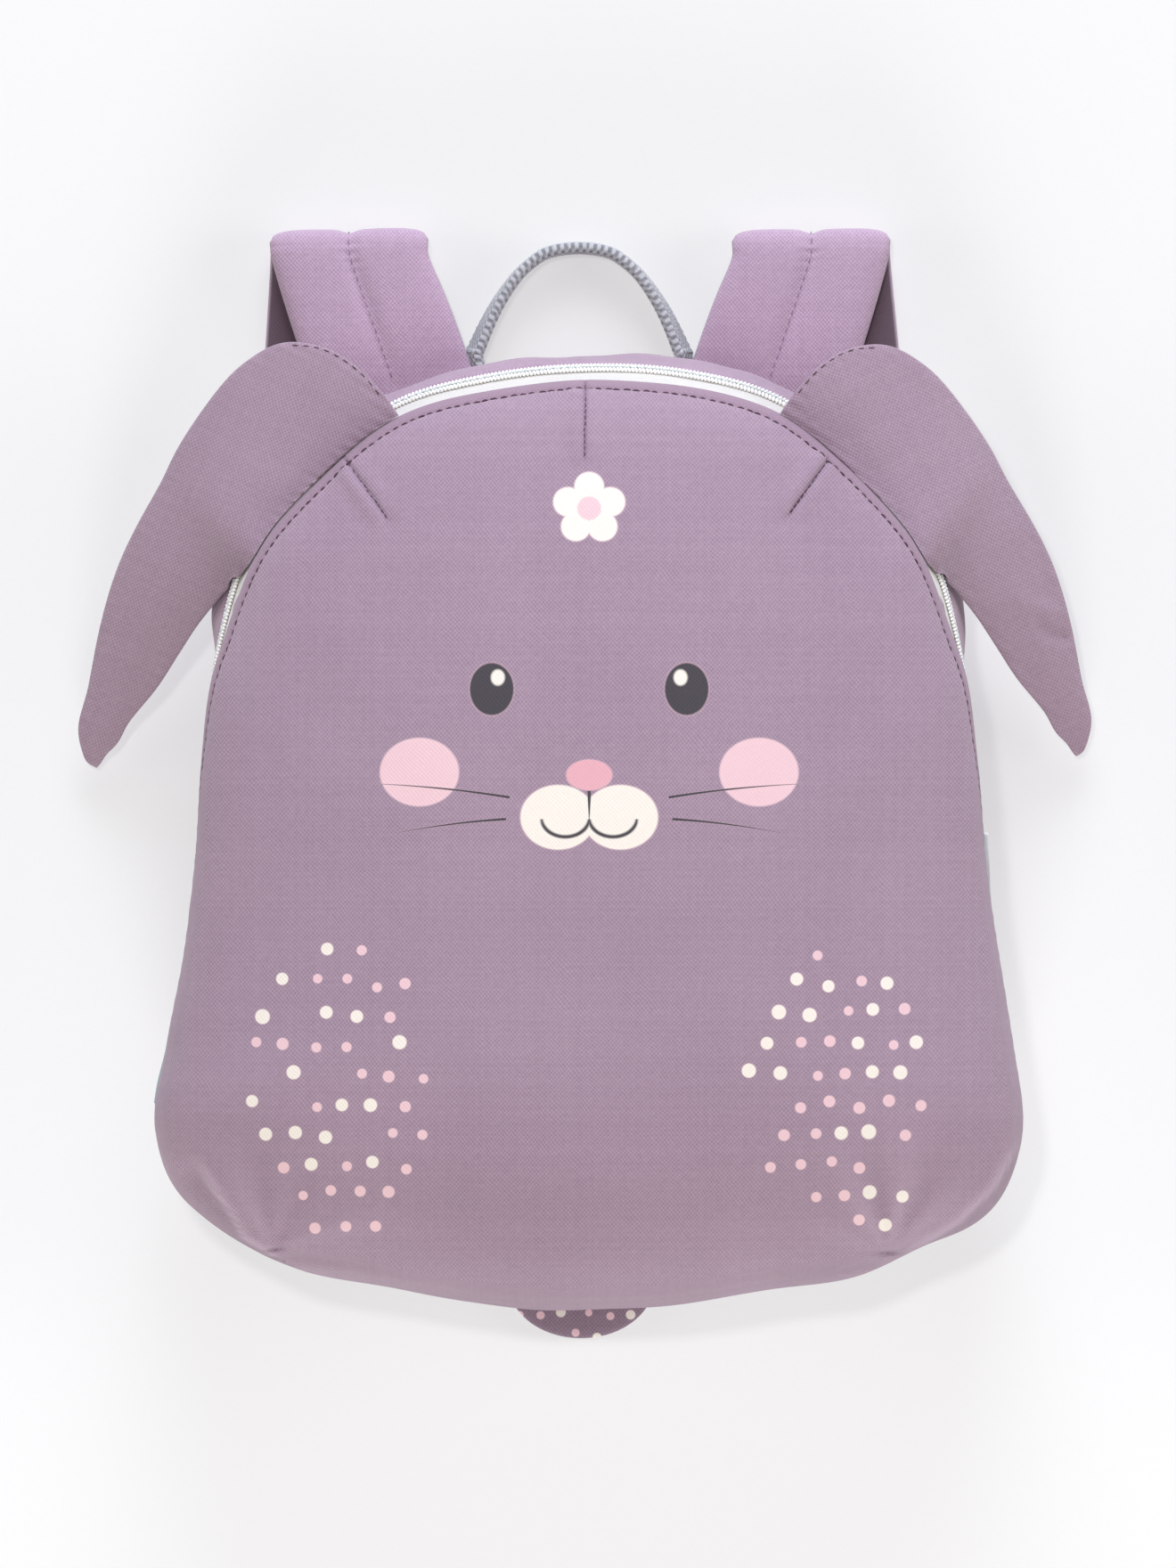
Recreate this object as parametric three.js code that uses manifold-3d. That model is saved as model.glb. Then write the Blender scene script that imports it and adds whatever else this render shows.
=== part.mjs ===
// A small child's backpack with a lop-eared rabbit's shape, zipped shut and lying on its back.
// The domed front panel faces +Z, the grab handle and the folded shoulder straps lie towards +Y,
// and the bag rests on its shoulder straps, which are folded under the flat back panel.
// Units are millimetres. The origin is under the middle of the bag, on the surface it lies on.
import * as THREE from 'three';
import Module from 'manifold-3d';
import { mergeVertices } from 'three/addons/utils/BufferGeometryUtils.js';

// Driving sizes of the bag
const FRONT_WIDTH = 243; // across the front panel at its widest, near the bottom corners
const FRONT_HEIGHT = 261; // front panel's hem at the top to the fold at the bottom
const BAG_DEPTH = 96; // back panel's outer face to the crown of the front panel
const WALL = 2; // fabric with its lining
const SEAM_GAP = 0.3; // clearance between two pieces that are sewn together
const BACK_PAD = 4; // thickness of the padded back panel
const CROWN_DROP = 30; // the crown of the dome lies this far below the middle of the front

// Driving sizes of the zip
const ZIP_WIDTH = 11; // tape that shows between the gusset and the front hem
const ZIP_END = 0.475; // place on the half outline where the zip stops, 0 at the top and 1 at the bottom
const COIL_WIDTH = 5;
const COIL_HEIGHT = 1.6;
const SLIDER_LENGTH = 9;
const SLIDER_WIDTH = 7;
const SLIDER_HEIGHT = 2.6;
const PULL_LENGTH = 20;
const PULL_WIDTH = 6;
const PULL_THICK = 1.2;

// Driving sizes of the ears and the tail
const EAR_LENGTH = 118; // from the top of the ear's curve down to its tip
const EAR_SPREAD = 92; // from the upper end of its root out to its widest reach
const EAR_THICK = 13;
const EAR_EDGE = 1.8; // sewn edge
const EAR_ROOT = 2.6; // flattened root in the front seam
const EAR_ROOT_TOP = 0.13; // place on the half outline of the root's upper end
const EAR_ROOT_END = 0.27; // and of its lower end
const TAIL_WIDTH = 44;
const TAIL_LENGTH = 22.3;
const TAIL_OFFSET = -2.2; // it is sewn a little to the left of the middle
const TAIL_THICK = 8;
const TAIL_ROOT_HIGH = 3; // its seam's height above the edge of the back panel
const TAIL_TUCK = 2; // how far it reaches into that seam

// Driving sizes of the straps and the handle
const STRAP_WIDTH = 45;
const STRAP_THICK = 6.5;
const STRAP_END_THICK = 2.4; // flattened end sewn to the back panel
const STRAP_REACH = 44; // fold of the strap beyond the top of the front panel
const STRAP_END_UP = -0.2146; // height of the strap's lower end, as a share of half the front's height
const STRAP_LAP = 17; // length of strap sewn to the back panel
const STRAP_ROOT_IN = 12; // from the top of the back panel to where the strap is free of it
const FOLD_TURN = 0.8; // the fold lies nearly square to the strap's lower layer
const LAYER_GAP = 0.5; // between the strap's two layers
const WEBBING_WIDTH = 20;
const WEBBING_THICK = 1.5;
const WEBBING_END_UP = -0.858; // its sewn end, as a share of half the front's height
const BUCKLE_LENGTH = 24;
const BUCKLE_BAR = 3;
const BUCKLE_THICK = 3.6;
const HANDLE_SPAN = 57;
const HANDLE_HEIGHT = 30;
const HANDLE_OFFSET = -3.4; // it is sewn a little to the left of the middle
const HANDLE_SQUARE = 2.5; // how square its arch is: 2 would be a parabola
const HANDLE_WIDTH = 10;
const HANDLE_THICK = 2.4;
const HANDLE_LAP = 13; // length of each end sewn under the back panel
const HANDLE_ENDS = 15; // where the arch starts and ends, in degrees round it

// Driving sizes of the side label
const LABEL_LENGTH = 34;
const LABEL_DEPTH = 14;
const LABEL_THICK = 0.8;
const LABEL_PLACE = 0.603; // place on the half outline of the label's middle

// Facets
const COLUMN_STEP = 18; // furthest that two columns of facets are apart round the bag
const COLUMN_TURN = 0.3; // and the most that the outline turns between them, in radians
const DOME_ROWS = 10;
const WALL_ROWS = 4;
const DOME_START = 0.6; // the dome leaves its edge upright, and 0.5 would be as steep as an ellipse

const HALF_WIDTH = FRONT_WIDTH / 2;
const HALF_HEIGHT = FRONT_HEIGHT / 2;
const BACK_Z = STRAP_THICK + LAYER_GAP + STRAP_END_THICK + SEAM_GAP; // back panel's outer face
const COLOURS = { lilac: 0xa890a6, dark: 0x8f7a8d, white: 0xf2f4f6, grey: 0x8f9095, teal: 0x7fb2b4, black: 0x3c3c40 };

// One row for each place on the half outline, from the middle of the top to the middle of the bottom.
// across and up are shares of half the front's width and height. hemIn, zipLean, bulge and backIn are
// shares of the bag's depth: how far the hem lies inside the outline, how far the zip leans out from
// the hem, how far the side wall bulges, and how far the back seam lies inside the outline. hemHigh is
// the hem's height above the back. full is how square the dome's rise is: 2 is round, 5 is boxy.
const OUTLINE = [
  { place: 'top', across: 0, up: 1.0, hemIn: 0, hemHigh: 0.5, zipLean: 0.046, bulge: 0.05, backIn: 0, full: 2.1 },
  { place: 'top quarter', across: 0.232, up: 0.979, hemIn: 0, hemHigh: 0.5, zipLean: 0.048, bulge: 0.07, backIn: 0, full: 2.1 },
  { place: 'ear top', across: 0.437, up: 0.925, hemIn: 0, hemHigh: 0.51, zipLean: 0.046, bulge: 0.07, backIn: 0.005, full: 2.1 },
  { place: 'ear middle', across: 0.623, up: 0.789, hemIn: 0, hemHigh: 0.52, zipLean: 0.04, bulge: 0.065, backIn: 0.01, full: 2.2 },
  { place: 'ear end', across: 0.757, up: 0.646, hemIn: 0, hemHigh: 0.53, zipLean: 0.034, bulge: 0.065, backIn: 0.02, full: 2.3 },
  { place: 'shoulder', across: 0.841, up: 0.449, hemIn: 0, hemHigh: 0.53, zipLean: 0.014, bulge: 0.07, backIn: 0.045, full: 2.5 },
  { place: 'below ear', across: 0.868, up: 0.37, hemIn: 0.006, hemHigh: 0.53, zipLean: 0.004, bulge: 0.036, backIn: 0.08, full: 2.6 },
  { place: 'upper side', across: 0.896, up: 0.182, hemIn: 0.02, hemHigh: 0.53, zipLean: 0, bulge: 0.02, backIn: 0.105, full: 2.8 },
  { place: 'waist', across: 0.923, up: -0.102, hemIn: 0.036, hemHigh: 0.52, zipLean: 0, bulge: 0.03, backIn: 0.135, full: 3.2 },
  { place: 'lower side', across: 0.978, up: -0.436, hemIn: 0.042, hemHigh: 0.5, zipLean: 0, bulge: 0.1, backIn: 0.175, full: 3.8 },
  { place: 'hip', across: 1.0, up: -0.616, hemIn: 0.052, hemHigh: 0.47, zipLean: 0, bulge: 0.115, backIn: 0.185, full: 4.2 },
  { place: 'corner', across: 0.953, up: -0.754, hemIn: 0.062, hemHigh: 0.42, zipLean: 0, bulge: 0.1, backIn: 0.155, full: 4.4 },
  { place: 'corner dart', across: 0.764, up: -0.878, hemIn: 0.073, hemHigh: 0.385, zipLean: 0, bulge: 0.05, backIn: 0.125, full: 4.6 },
  { place: 'bottom quarter', across: 0.411, up: -0.966, hemIn: 0.083, hemHigh: 0.36, zipLean: 0, bulge: 0.04, backIn: 0.115, full: 4.8 },
  { place: 'bottom', across: 0, up: -1.0, hemIn: 0.083, hemHigh: 0.35, zipLean: 0, bulge: 0.04, backIn: 0.115, full: 5.0 },
];

// Darts pinch the front panel. at is the place on the half outline, sides are the signs of x that
// have one, and the lengths are shares of the bag's depth.
const DARTS = [
  { at: 0, sides: [1], length: 0.24, depth: 0.012, width: 0.022 },
  { at: 0.177, sides: [1, -1], length: 0.22, depth: 0.012, width: 0.022 },
  { at: 0.786, sides: [1, -1], length: 0.24, depth: 0.03, width: 0.03 },
];

// Ear sections from the root's upper end to the tip. root is the share of the root line where the inner
// edge is still sewn in. out and up are shares of EAR_SPREAD and EAR_LENGTH from the root's upper end;
// high is the share of the root's height above the surface.
const EAR_SECTIONS = [
  { root: 0.0, outerOut: 0.046, outerUp: 0.05, outerHigh: 1.01 },
  { root: 0.16, outerOut: 0.118, outerUp: 0.11, outerHigh: 0.99 },
  { root: 0.32, outerOut: 0.236, outerUp: 0.16, outerHigh: 0.93 },
  { root: 0.48, outerOut: 0.354, outerUp: 0.17, outerHigh: 0.86 },
  { root: 0.64, outerOut: 0.484, outerUp: 0.119, outerHigh: 0.77 },
  { root: 0.82, outerOut: 0.604, outerUp: 0.015, outerHigh: 0.68 },
  { root: 1.0, outerOut: 0.677, outerUp: -0.069, outerHigh: 0.62 },
  { innerOut: 0.531, innerUp: -0.42, innerHigh: 0.82, outerOut: 0.741, outerUp: -0.166, outerHigh: 0.56 },
  { innerOut: 0.616, innerUp: -0.496, innerHigh: 0.68, outerOut: 0.817, outerUp: -0.271, outerHigh: 0.48 },
  { innerOut: 0.673, innerUp: -0.559, innerHigh: 0.57, outerOut: 0.873, outerUp: -0.361, outerHigh: 0.4 },
  { innerOut: 0.747, innerUp: -0.644, innerHigh: 0.44, outerOut: 0.927, outerUp: -0.5, outerHigh: 0.32 },
  { innerOut: 0.843, innerUp: -0.731, innerHigh: 0.29, outerOut: 0.969, outerUp: -0.656, outerHigh: 0.23 },
  { innerOut: 0.885, innerUp: -0.784, innerHigh: 0.21, outerOut: 1.0, outerUp: -0.765, outerHigh: 0.17 },
  { innerOut: 0.925, innerUp: -0.815, innerHigh: 0.15, outerOut: 0.985, outerUp: -0.825, outerHigh: 0.135 },
];
// The two ears are cut alike but lie a little differently. side is the sign of x.
const EARS = [
  { name: 'ear_left', side: -1, reach: 1.0, drop: 1.0 },
  { name: 'ear_right', side: 1, reach: 0.98, drop: 0.97 },
];

// The folded straps lie a little differently. The columns are the middle of the strap's sewn end, of its
// fold and of its lower end, and where the webbing is sewn on, as shares of half the front's width.
const STRAPS = [
  { hand: 'left', side: -1, rootOut: 0.3704, foldOut: 0.563, endOut: 0.6584, webbingOut: 0.6914 },
  { hand: 'right', side: 1, rootOut: 0.3374, foldOut: 0.5226, endOut: 0.6749, webbingOut: 0.6914 },
];

const lerp = THREE.MathUtils.lerp;
const point = (x, y, z) => new THREE.Vector3(x, y, z);

// Smooth curve through rows of numbers at growing knots, with one value or object of values each.
function smoothRows(rows, knots, columns, before, after) {
  const all = [before, ...rows, after];
  const at = [2 * knots[0] - knots[1], ...knots, 2 * knots.at(-1) - knots.at(-2)];
  const slope = (i, c) => {
    const back = at[i] - at[i - 1];
    const ahead = at[i + 1] - at[i];
    const into = (all[i][c] - all[i - 1][c]) / back;
    const out = (all[i + 1][c] - all[i][c]) / ahead;
    return (into * ahead + out * back) / (back + ahead);
  };
  return (u) => {
    let i = 1;
    while (i < rows.length - 1 && u > at[i + 1]) i += 1;
    const span = at[i + 1] - at[i];
    const s = (u - at[i]) / span;
    const value = {};
    for (const c of columns) {
      const h = [2 * s ** 3 - 3 * s ** 2 + 1, s ** 3 - 2 * s ** 2 + s, 3 * s ** 2 - 2 * s ** 3, s ** 3 - s ** 2];
      value[c] = h[0] * all[i][c] + h[1] * span * slope(i, c) + h[2] * all[i + 1][c] + h[3] * span * slope(i + 1, c);
    }
    return value;
  };
}

// The half outline, as a function of the share of its length from the top
function makeHalfOutline() {
  const lengths = ['hemIn', 'hemHigh', 'zipLean', 'bulge', 'backIn'];
  const rows = OUTLINE.map((row) => {
    const sized = { x: row.across * HALF_WIDTH, y: row.up * HALF_HEIGHT, full: row.full };
    for (const name of lengths) sized[name] = row[name] * BAG_DEPTH;
    return sized;
  });
  const knots = [0];
  for (let i = 1; i < rows.length; i += 1) {
    knots.push(knots[i - 1] + Math.hypot(rows[i].x - rows[i - 1].x, rows[i].y - rows[i - 1].y));
  }
  const total = knots.at(-1);
  const mirrored = (row) => ({ ...row, x: -row.x });
  const curve = smoothRows(
    rows, knots.map((k) => k / total), ['x', 'y', 'full', ...lengths], mirrored(rows[1]), mirrored(rows.at(-2)));
  return { curve, total };
}

const { curve: halfOutline, total: HALF_PERIMETER } = makeHalfOutline();

// The whole outline: t runs from 0 at the top, down the right side to 1 at the bottom, up the left to 2.
function outlineAt(t) {
  const turn = ((t % 2) + 2) % 2;
  const side = turn <= 1 ? 1 : -1;
  const u = turn <= 1 ? turn : 2 - turn;
  const step = 0.002;
  const low = Math.max(0, u - step);
  const high = Math.min(1, u + step);
  const a = halfOutline(low);
  const b = halfOutline(high);
  const run = Math.hypot(b.x - a.x, b.y - a.y);
  const edge = halfOutline(u);
  return {
    ...edge, u, side, x: edge.x * side,
    normal: [side * (a.y - b.y) / run, (b.x - a.x) / run],
    zipDrop: Math.sqrt(ZIP_WIDTH ** 2 - edge.zipLean ** 2),
  };
}

// Depth of the pinch of the darts at a place on the front panel, inward mm from the hem
function dartDepth(edge, inward) {
  let depth = 0;
  for (const dart of DARTS) {
    const length = dart.length * BAG_DEPTH;
    if (!dart.sides.includes(edge.side) && dart.at > 0) continue;
    if (inward > length) continue;
    const across = (edge.u - dart.at) * HALF_PERIMETER;
    const spread = Math.exp(-((across / (dart.width * BAG_DEPTH)) ** 2));
    depth += dart.depth * BAG_DEPTH * spread * (1 - inward / length);
  }
  return depth;
}

// A point of the bag's outer surface. v runs from 0 at the back seam, 1 at the edge of the zip tape
// and 2 at the front hem to 3 at the crown of the dome.
function bagPoint(t, v) {
  const edge = outlineAt(t);
  const out = (distance) => [edge.x + distance * edge.normal[0], edge.y + distance * edge.normal[1]];
  const hemZ = BACK_Z + edge.hemHigh;
  const tapeZ = hemZ - edge.zipDrop;
  const tapeOut = edge.zipLean - edge.hemIn;
  if (v <= 1) {
    const share = Math.max(v, 0);
    const [x, y] = out(lerp(-edge.backIn, tapeOut, share) + 4 * edge.bulge * share * (1 - share));
    return point(x, y, lerp(BACK_Z, tapeZ, share));
  }
  if (v <= 2) {
    const share = v - 1;
    const [x, y] = out(lerp(tapeOut, -edge.hemIn, share));
    return point(x, y, lerp(tapeZ, hemZ, share));
  }
  const step = Math.min(v - 2, 1);
  const tuck = 0.22 * edge.hemIn / (edge.hemIn + 3);
  const turn = Math.min(1, step / Math.max(tuck, 1e-6)) * Math.PI / 2;
  const lift = 1.5 * edge.hemIn;
  const [x, y] = out(-edge.hemIn * (1 - Math.sin(turn)));
  const beyond = Math.max(0, step - tuck) / (1 - tuck);
  const shrink = 1 - beyond ** (1 / DOME_START);
  const rise = (1 - shrink ** edge.full) ** DOME_START;
  const toCrown = Math.hypot(x, y + CROWN_DROP);
  const crownZ = BACK_Z + BAG_DEPTH;
  const inward = (1 - shrink) * toCrown + rise * (crownZ - hemZ) * 0.5;
  const pinch = dartDepth(edge, inward) * Math.min(1, step * 8);
  return point(
    lerp(0, x, shrink) - pinch * edge.normal[0],
    lerp(-CROWN_DROP, y, shrink) - pinch * edge.normal[1],
    lerp(hemZ + lift * (1 - Math.cos(turn)), crownZ, rise) - pinch);
}

// v moved by a distance over the surface
function moved(t, v, distance) {
  const probe = 0.002 * Math.sign(distance);
  return v + probe * Math.abs(distance) / bagPoint(t, v).distanceTo(bagPoint(t, v + probe));
}

// The normal is taken over 2 mm, so two panels that meet at a seam share it there
function bagNormal(t, v) {
  if (v > 2.995) return point(0, 0, 1);
  const low = Math.max(0, moved(t, v, -1));
  const high = Math.min(2.995, moved(t, v, 1));
  const along = bagPoint(t + 0.008, v).sub(bagPoint(t - 0.008, v));
  const rising = bagPoint(t, high).sub(bagPoint(t, low));
  return rising.cross(along).normalize();
}

// Half a seam gap beside a seam, so that two panels which meet there stay clear
const besideSeam = (t, v, direction) => moved(t, v, direction * SEAM_GAP / 2);

// A closed solid swept through sections. Each section is a loop of points, the first half on one face
// and the second half back along the other, so that its ends can be closed by pairing them.
function sweep(sections, wrap) {
  const count = sections[0].length;
  const positions = sections.flatMap((s) => s.flatMap((p) => [p.x, p.y, p.z]));
  const index = [];
  const quad = (a, b, c, d) => index.push(a, b, c, a, c, d);
  const spans = wrap ? sections.length : sections.length - 1;
  for (let i = 0; i < spans; i += 1) {
    const here = i * count;
    const next = ((i + 1) % sections.length) * count;
    for (let j = 0; j < count; j += 1) {
      const k = (j + 1) % count;
      quad(here + j, here + k, next + k, next + j);
    }
  }
  if (!wrap) {
    const last = (sections.length - 1) * count;
    for (let j = 0; j < count / 2 - 1; j += 1) {
      const k = count - 1 - j;
      quad(j, k, k - 1, j + 1);
      quad(last + j, last + j + 1, last + k - 1, last + k);
    }
  }
  return closedGeometry(positions, index);
}

// Welds equal points, drops the triangles that this closes up, and turns the faces outward
function closedGeometry(positions, index) {
  const raw = new THREE.BufferGeometry();
  raw.setAttribute('position', new THREE.Float32BufferAttribute(positions, 3));
  raw.setIndex(index);
  const welded = mergeVertices(raw, 1e-3);
  const place = welded.getAttribute('position');
  const corners = welded.getIndex().array;
  const at = (i) => point(place.getX(i), place.getY(i), place.getZ(i));
  const kept = [];
  let volume = 0;
  for (let i = 0; i < corners.length; i += 3) {
    const [a, b, c] = [corners[i], corners[i + 1], corners[i + 2]];
    if (a === b || b === c || a === c) continue;
    kept.push(a, b, c);
    volume += at(a).dot(at(b).cross(at(c)));
  }
  if (volume < 0) kept.reverse();
  welded.setIndex(kept);
  return welded;
}

// Booleans on closed geometries
const wasm = await Module();
wasm.setup();

function toSolid(geometry) {
  const bare = closedFrom(geometry);
  return new wasm.Manifold(new wasm.Mesh({
    numProp: 3,
    vertProperties: new Float32Array(bare.getAttribute('position').array),
    triVerts: new Uint32Array(bare.getIndex().array),
  }));
}

function fromSolid(solid) {
  const { vertProperties, triVerts, numProp } = solid.getMesh();
  const positions = [];
  for (let i = 0; i < vertProperties.length; i += numProp) positions.push(...vertProperties.slice(i, i + 3));
  const geometry = new THREE.BufferGeometry();
  geometry.setAttribute('position', new THREE.Float32BufferAttribute(positions, 3));
  geometry.setIndex([...triVerts]);
  return geometry;
}

const cut = (geometry, tools) => fromSolid(tools.reduce((left, tool) => left.subtract(toSolid(tool)), toSolid(geometry)));

function piece(name, geometry, colour, roughness = 0.85, metalness = 0) {
  const material = new THREE.MeshStandardMaterial({ color: colour, roughness, metalness });
  const mesh = new THREE.Mesh(geometry, material);
  mesh.name = name;
  return mesh;
}

const spread = (from, to, count) => Array.from({ length: count + 1 }, (_, i) => lerp(from, to, i / count));

// The places round the bag where all its panels have their columns: closer where the outline turns,
// with columns at the zip's ends and beside each dart
function makeColumns() {
  const half = [0];
  let travelled = 0;
  for (let i = 1; i <= 400; i += 1) {
    const [a, b] = [outlineAt((i - 1) / 400), outlineAt(i / 400)];
    const turned = Math.hypot(b.normal[0] - a.normal[0], b.normal[1] - a.normal[1]);
    travelled += Math.hypot(b.x - a.x, b.y - a.y) / COLUMN_STEP + turned / COLUMN_TURN;
    if (travelled >= half.length) half.push(i / 400);
  }
  const beside = COLUMN_STEP / 5 / HALF_PERIMETER;
  const fixed = [ZIP_END, ...DARTS.flatMap((dart) => [dart.at - beside, dart.at, dart.at + beside])]
    .filter((t) => t >= 0);
  const free = half.filter((t) => t < 0.985 && fixed.every((other) => Math.abs(other - t) > beside * 1.4));
  const right = [...free, ...fixed].sort((a, b) => a - b);
  return [...right, 1, ...right.filter((t) => t > 0).reverse().map((t) => 2 - t)];
}
const BAG_COLUMNS = makeColumns();

// The columns between two places, which may run past the top in either direction
function placesRound(from, to) {
  const clear = 1.5 / HALF_PERIMETER;
  const inside = [-2, 0, 2].flatMap((turn) => BAG_COLUMNS.map((t) => t + turn))
    .filter((t) => t > from + clear && t < to - clear);
  return [from, ...inside, to];
}

// A fabric panel cut out of the bag's surface. thick and lift are measured along the surface's normal.
function panel({ from, to, rows, thick = WALL, lift = 0, wrap = false }) {
  const places = placesRound(from, to);
  if (wrap) places.pop();
  const sections = places.map((t) => {
    const vs = rows(t);
    const outer = vs.map((v) => bagPoint(t, v).addScaledVector(bagNormal(t, v), lift));
    const inner = vs.map((v) => bagPoint(t, v).addScaledVector(bagNormal(t, v), lift - thick));
    return [...outer, ...inner.reverse()];
  });
  return sweep(sections, wrap);
}

// How much of t makes half a seam gap at a place on the outline
const gapInT = SEAM_GAP / 2 / HALF_PERIMETER;

function makeFrontPanel() {
  const rows = (t) => {
    const start = besideSeam(t, 2, 1);
    return spread(0, 1, DOME_ROWS).map((share) => (share === 1 ? 3 : lerp(start, 3, share)));
  };
  return piece('front_panel', panel({ from: 0, to: 2, rows, wrap: true }), COLOURS.lilac);
}

function makeZipTape() {
  const rows = (t) => spread(besideSeam(t, 1, 1), besideSeam(t, 2, -1), 2);
  const geometry = panel({ from: -ZIP_END + gapInT, to: ZIP_END - gapInT, rows, thick: WALL * 0.75 });
  return piece('zip_tape', geometry, COLOURS.white, 0.7);
}

// The closed coil, a low rounded ridge along the middle of the tape
function makeZipCoil() {
  const half = COIL_WIDTH / 2 / ZIP_WIDTH;
  const middle = 1.5;
  const end = ZIP_END - SLIDER_LENGTH * 1.2 / HALF_PERIMETER;
  const sections = placesRound(-end, end).map((t) => {
    const normal = bagNormal(t, middle);
    const at = (v, lift) => bagPoint(t, v).addScaledVector(normal, SEAM_GAP + lift);
    return [
      at(middle - half, COIL_HEIGHT * 0.5), at(middle - half * 0.6, COIL_HEIGHT),
      at(middle + half * 0.6, COIL_HEIGHT), at(middle + half, COIL_HEIGHT * 0.5),
      at(middle + half, 0), at(middle + half * 0.6, 0), at(middle - half * 0.6, 0), at(middle - half, 0),
    ];
  });
  return piece('zip_coil', sweep(sections, false), COLOURS.white, 0.5);
}

// A rounded block in the frame of the bag's surface: along runs down the zip, out is the normal
function blockOnBag(t, v, size, lift, shift) {
  const at = bagPoint(t, v);
  const normal = bagNormal(t, v);
  const along = bagPoint(t + 0.01, v).sub(bagPoint(t - 0.01, v)).normalize();
  const across = new THREE.Vector3().crossVectors(normal, along).normalize();
  const [length, width, height] = size;
  const bevel = height * 0.3;
  const outline = new THREE.Shape();
  outline.moveTo(-length / 2 + bevel, -width / 2);
  outline.lineTo(length / 2 - bevel, -width / 2);
  outline.lineTo(length / 2, -width / 2 + bevel);
  outline.lineTo(length / 2, width / 2 - bevel);
  outline.lineTo(length / 2 - bevel, width / 2);
  outline.lineTo(-length / 2 + bevel, width / 2);
  outline.lineTo(-length / 2, width / 2 - bevel);
  outline.lineTo(-length / 2, -width / 2 + bevel);
  const block = closedFrom(new THREE.ExtrudeGeometry(outline, { depth: height, bevelEnabled: false }));
  const place = at.addScaledVector(normal, lift).addScaledVector(along, shift);
  block.applyMatrix4(new THREE.Matrix4().makeBasis(along, across.negate(), normal).setPosition(place));
  return closedFrom(block);
}

function closedFrom(geometry) {
  const bare = geometry.clone();
  bare.deleteAttribute('normal');
  bare.deleteAttribute('uv');
  const plain = mergeVertices(bare, 1e-3);
  return closedGeometry([...plain.getAttribute('position').array], [...plain.getIndex().array]);
}

function makeZipSlider() {
  const t = ZIP_END - SLIDER_LENGTH * 0.6 / HALF_PERIMETER;
  const size = [SLIDER_LENGTH, SLIDER_WIDTH, SLIDER_HEIGHT];
  return piece('zip_slider', blockOnBag(t, 1.5, size, SEAM_GAP, 0), COLOURS.white, 0.4, 0.2);
}

function makeZipPull() {
  const t = ZIP_END - SLIDER_LENGTH * 0.6 / HALF_PERIMETER;
  const size = [PULL_LENGTH, PULL_WIDTH, PULL_THICK];
  const lift = SEAM_GAP + SLIDER_HEIGHT + SEAM_GAP;
  return piece('zip_pull', blockOnBag(t, 1.5, size, lift, PULL_LENGTH * 0.42), COLOURS.white, 0.5);
}

function makeTopGusset() {
  const rows = (t) => spread(0, besideSeam(t, 1, -1), WALL_ROWS);
  const geometry = panel({ from: -ZIP_END + gapInT, to: ZIP_END - gapInT, rows });
  return piece('top_gusset', geometry, COLOURS.lilac);
}

function makeBaseGusset() {
  const rows = (t) => {
    const low = spread(0, 1, WALL_ROWS);
    return [...low, 1.5, besideSeam(t, 2, -1)];
  };
  const geometry = panel({ from: ZIP_END + gapInT, to: 2 - ZIP_END - gapInT, rows });
  return piece('base_gusset', geometry, COLOURS.lilac);
}

// The flat padded panel that lies against the wearer's back, inside the lower edge of the side walls
function makeBackPanel() {
  const clear = WALL + SEAM_GAP;
  const shape = new THREE.Shape(BAG_COLUMNS.map((t) => {
    const edge = outlineAt(t);
    const inset = edge.backIn + clear;
    return new THREE.Vector2(edge.x - inset * edge.normal[0], edge.y - inset * edge.normal[1]);
  }));
  const geometry = closedFrom(new THREE.ExtrudeGeometry(shape, { depth: BACK_PAD, bevelEnabled: false }));
  geometry.translate(0, 0, BACK_Z);
  return piece('back_panel', geometry, COLOURS.dark);
}

// The bag's whole outer surface with the zip's coil as one closed solid, a seam gap larger, to cut
// other pieces with
function makeEnvelope() {
  const floor = BACK_Z - SEAM_GAP;
  const coil = COIL_WIDTH / 2 / ZIP_WIDTH + SEAM_GAP / ZIP_WIDTH;
  const raised = COIL_HEIGHT + SEAM_GAP;
  const rows = [
    ...spread(0, 1, WALL_ROWS).map((v) => [v, 0]),
    [1.5 - coil * 1.1, 0], [1.5 - coil, raised], [1.5 + coil, raised], [1.5 + coil * 1.1, 0],
    ...spread(2, 3, DOME_ROWS).map((v) => [v, 0]),
  ];
  const sections = placesRound(0, 2).slice(0, -1).map((t) => {
    const skin = rows.map(([v, lift]) => bagPoint(t, v).addScaledVector(bagNormal(t, v), SEAM_GAP + lift));
    return [point(0, -CROWN_DROP, floor), skin[0].clone().setZ(floor), ...skin];
  });
  return sweep(sections, true);
}

// Half thickness of a stuffed shape across its width, 0 and 1 at its two sewn edges
const plump = (share) => Math.sin(Math.PI * share) ** 0.7;

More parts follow.
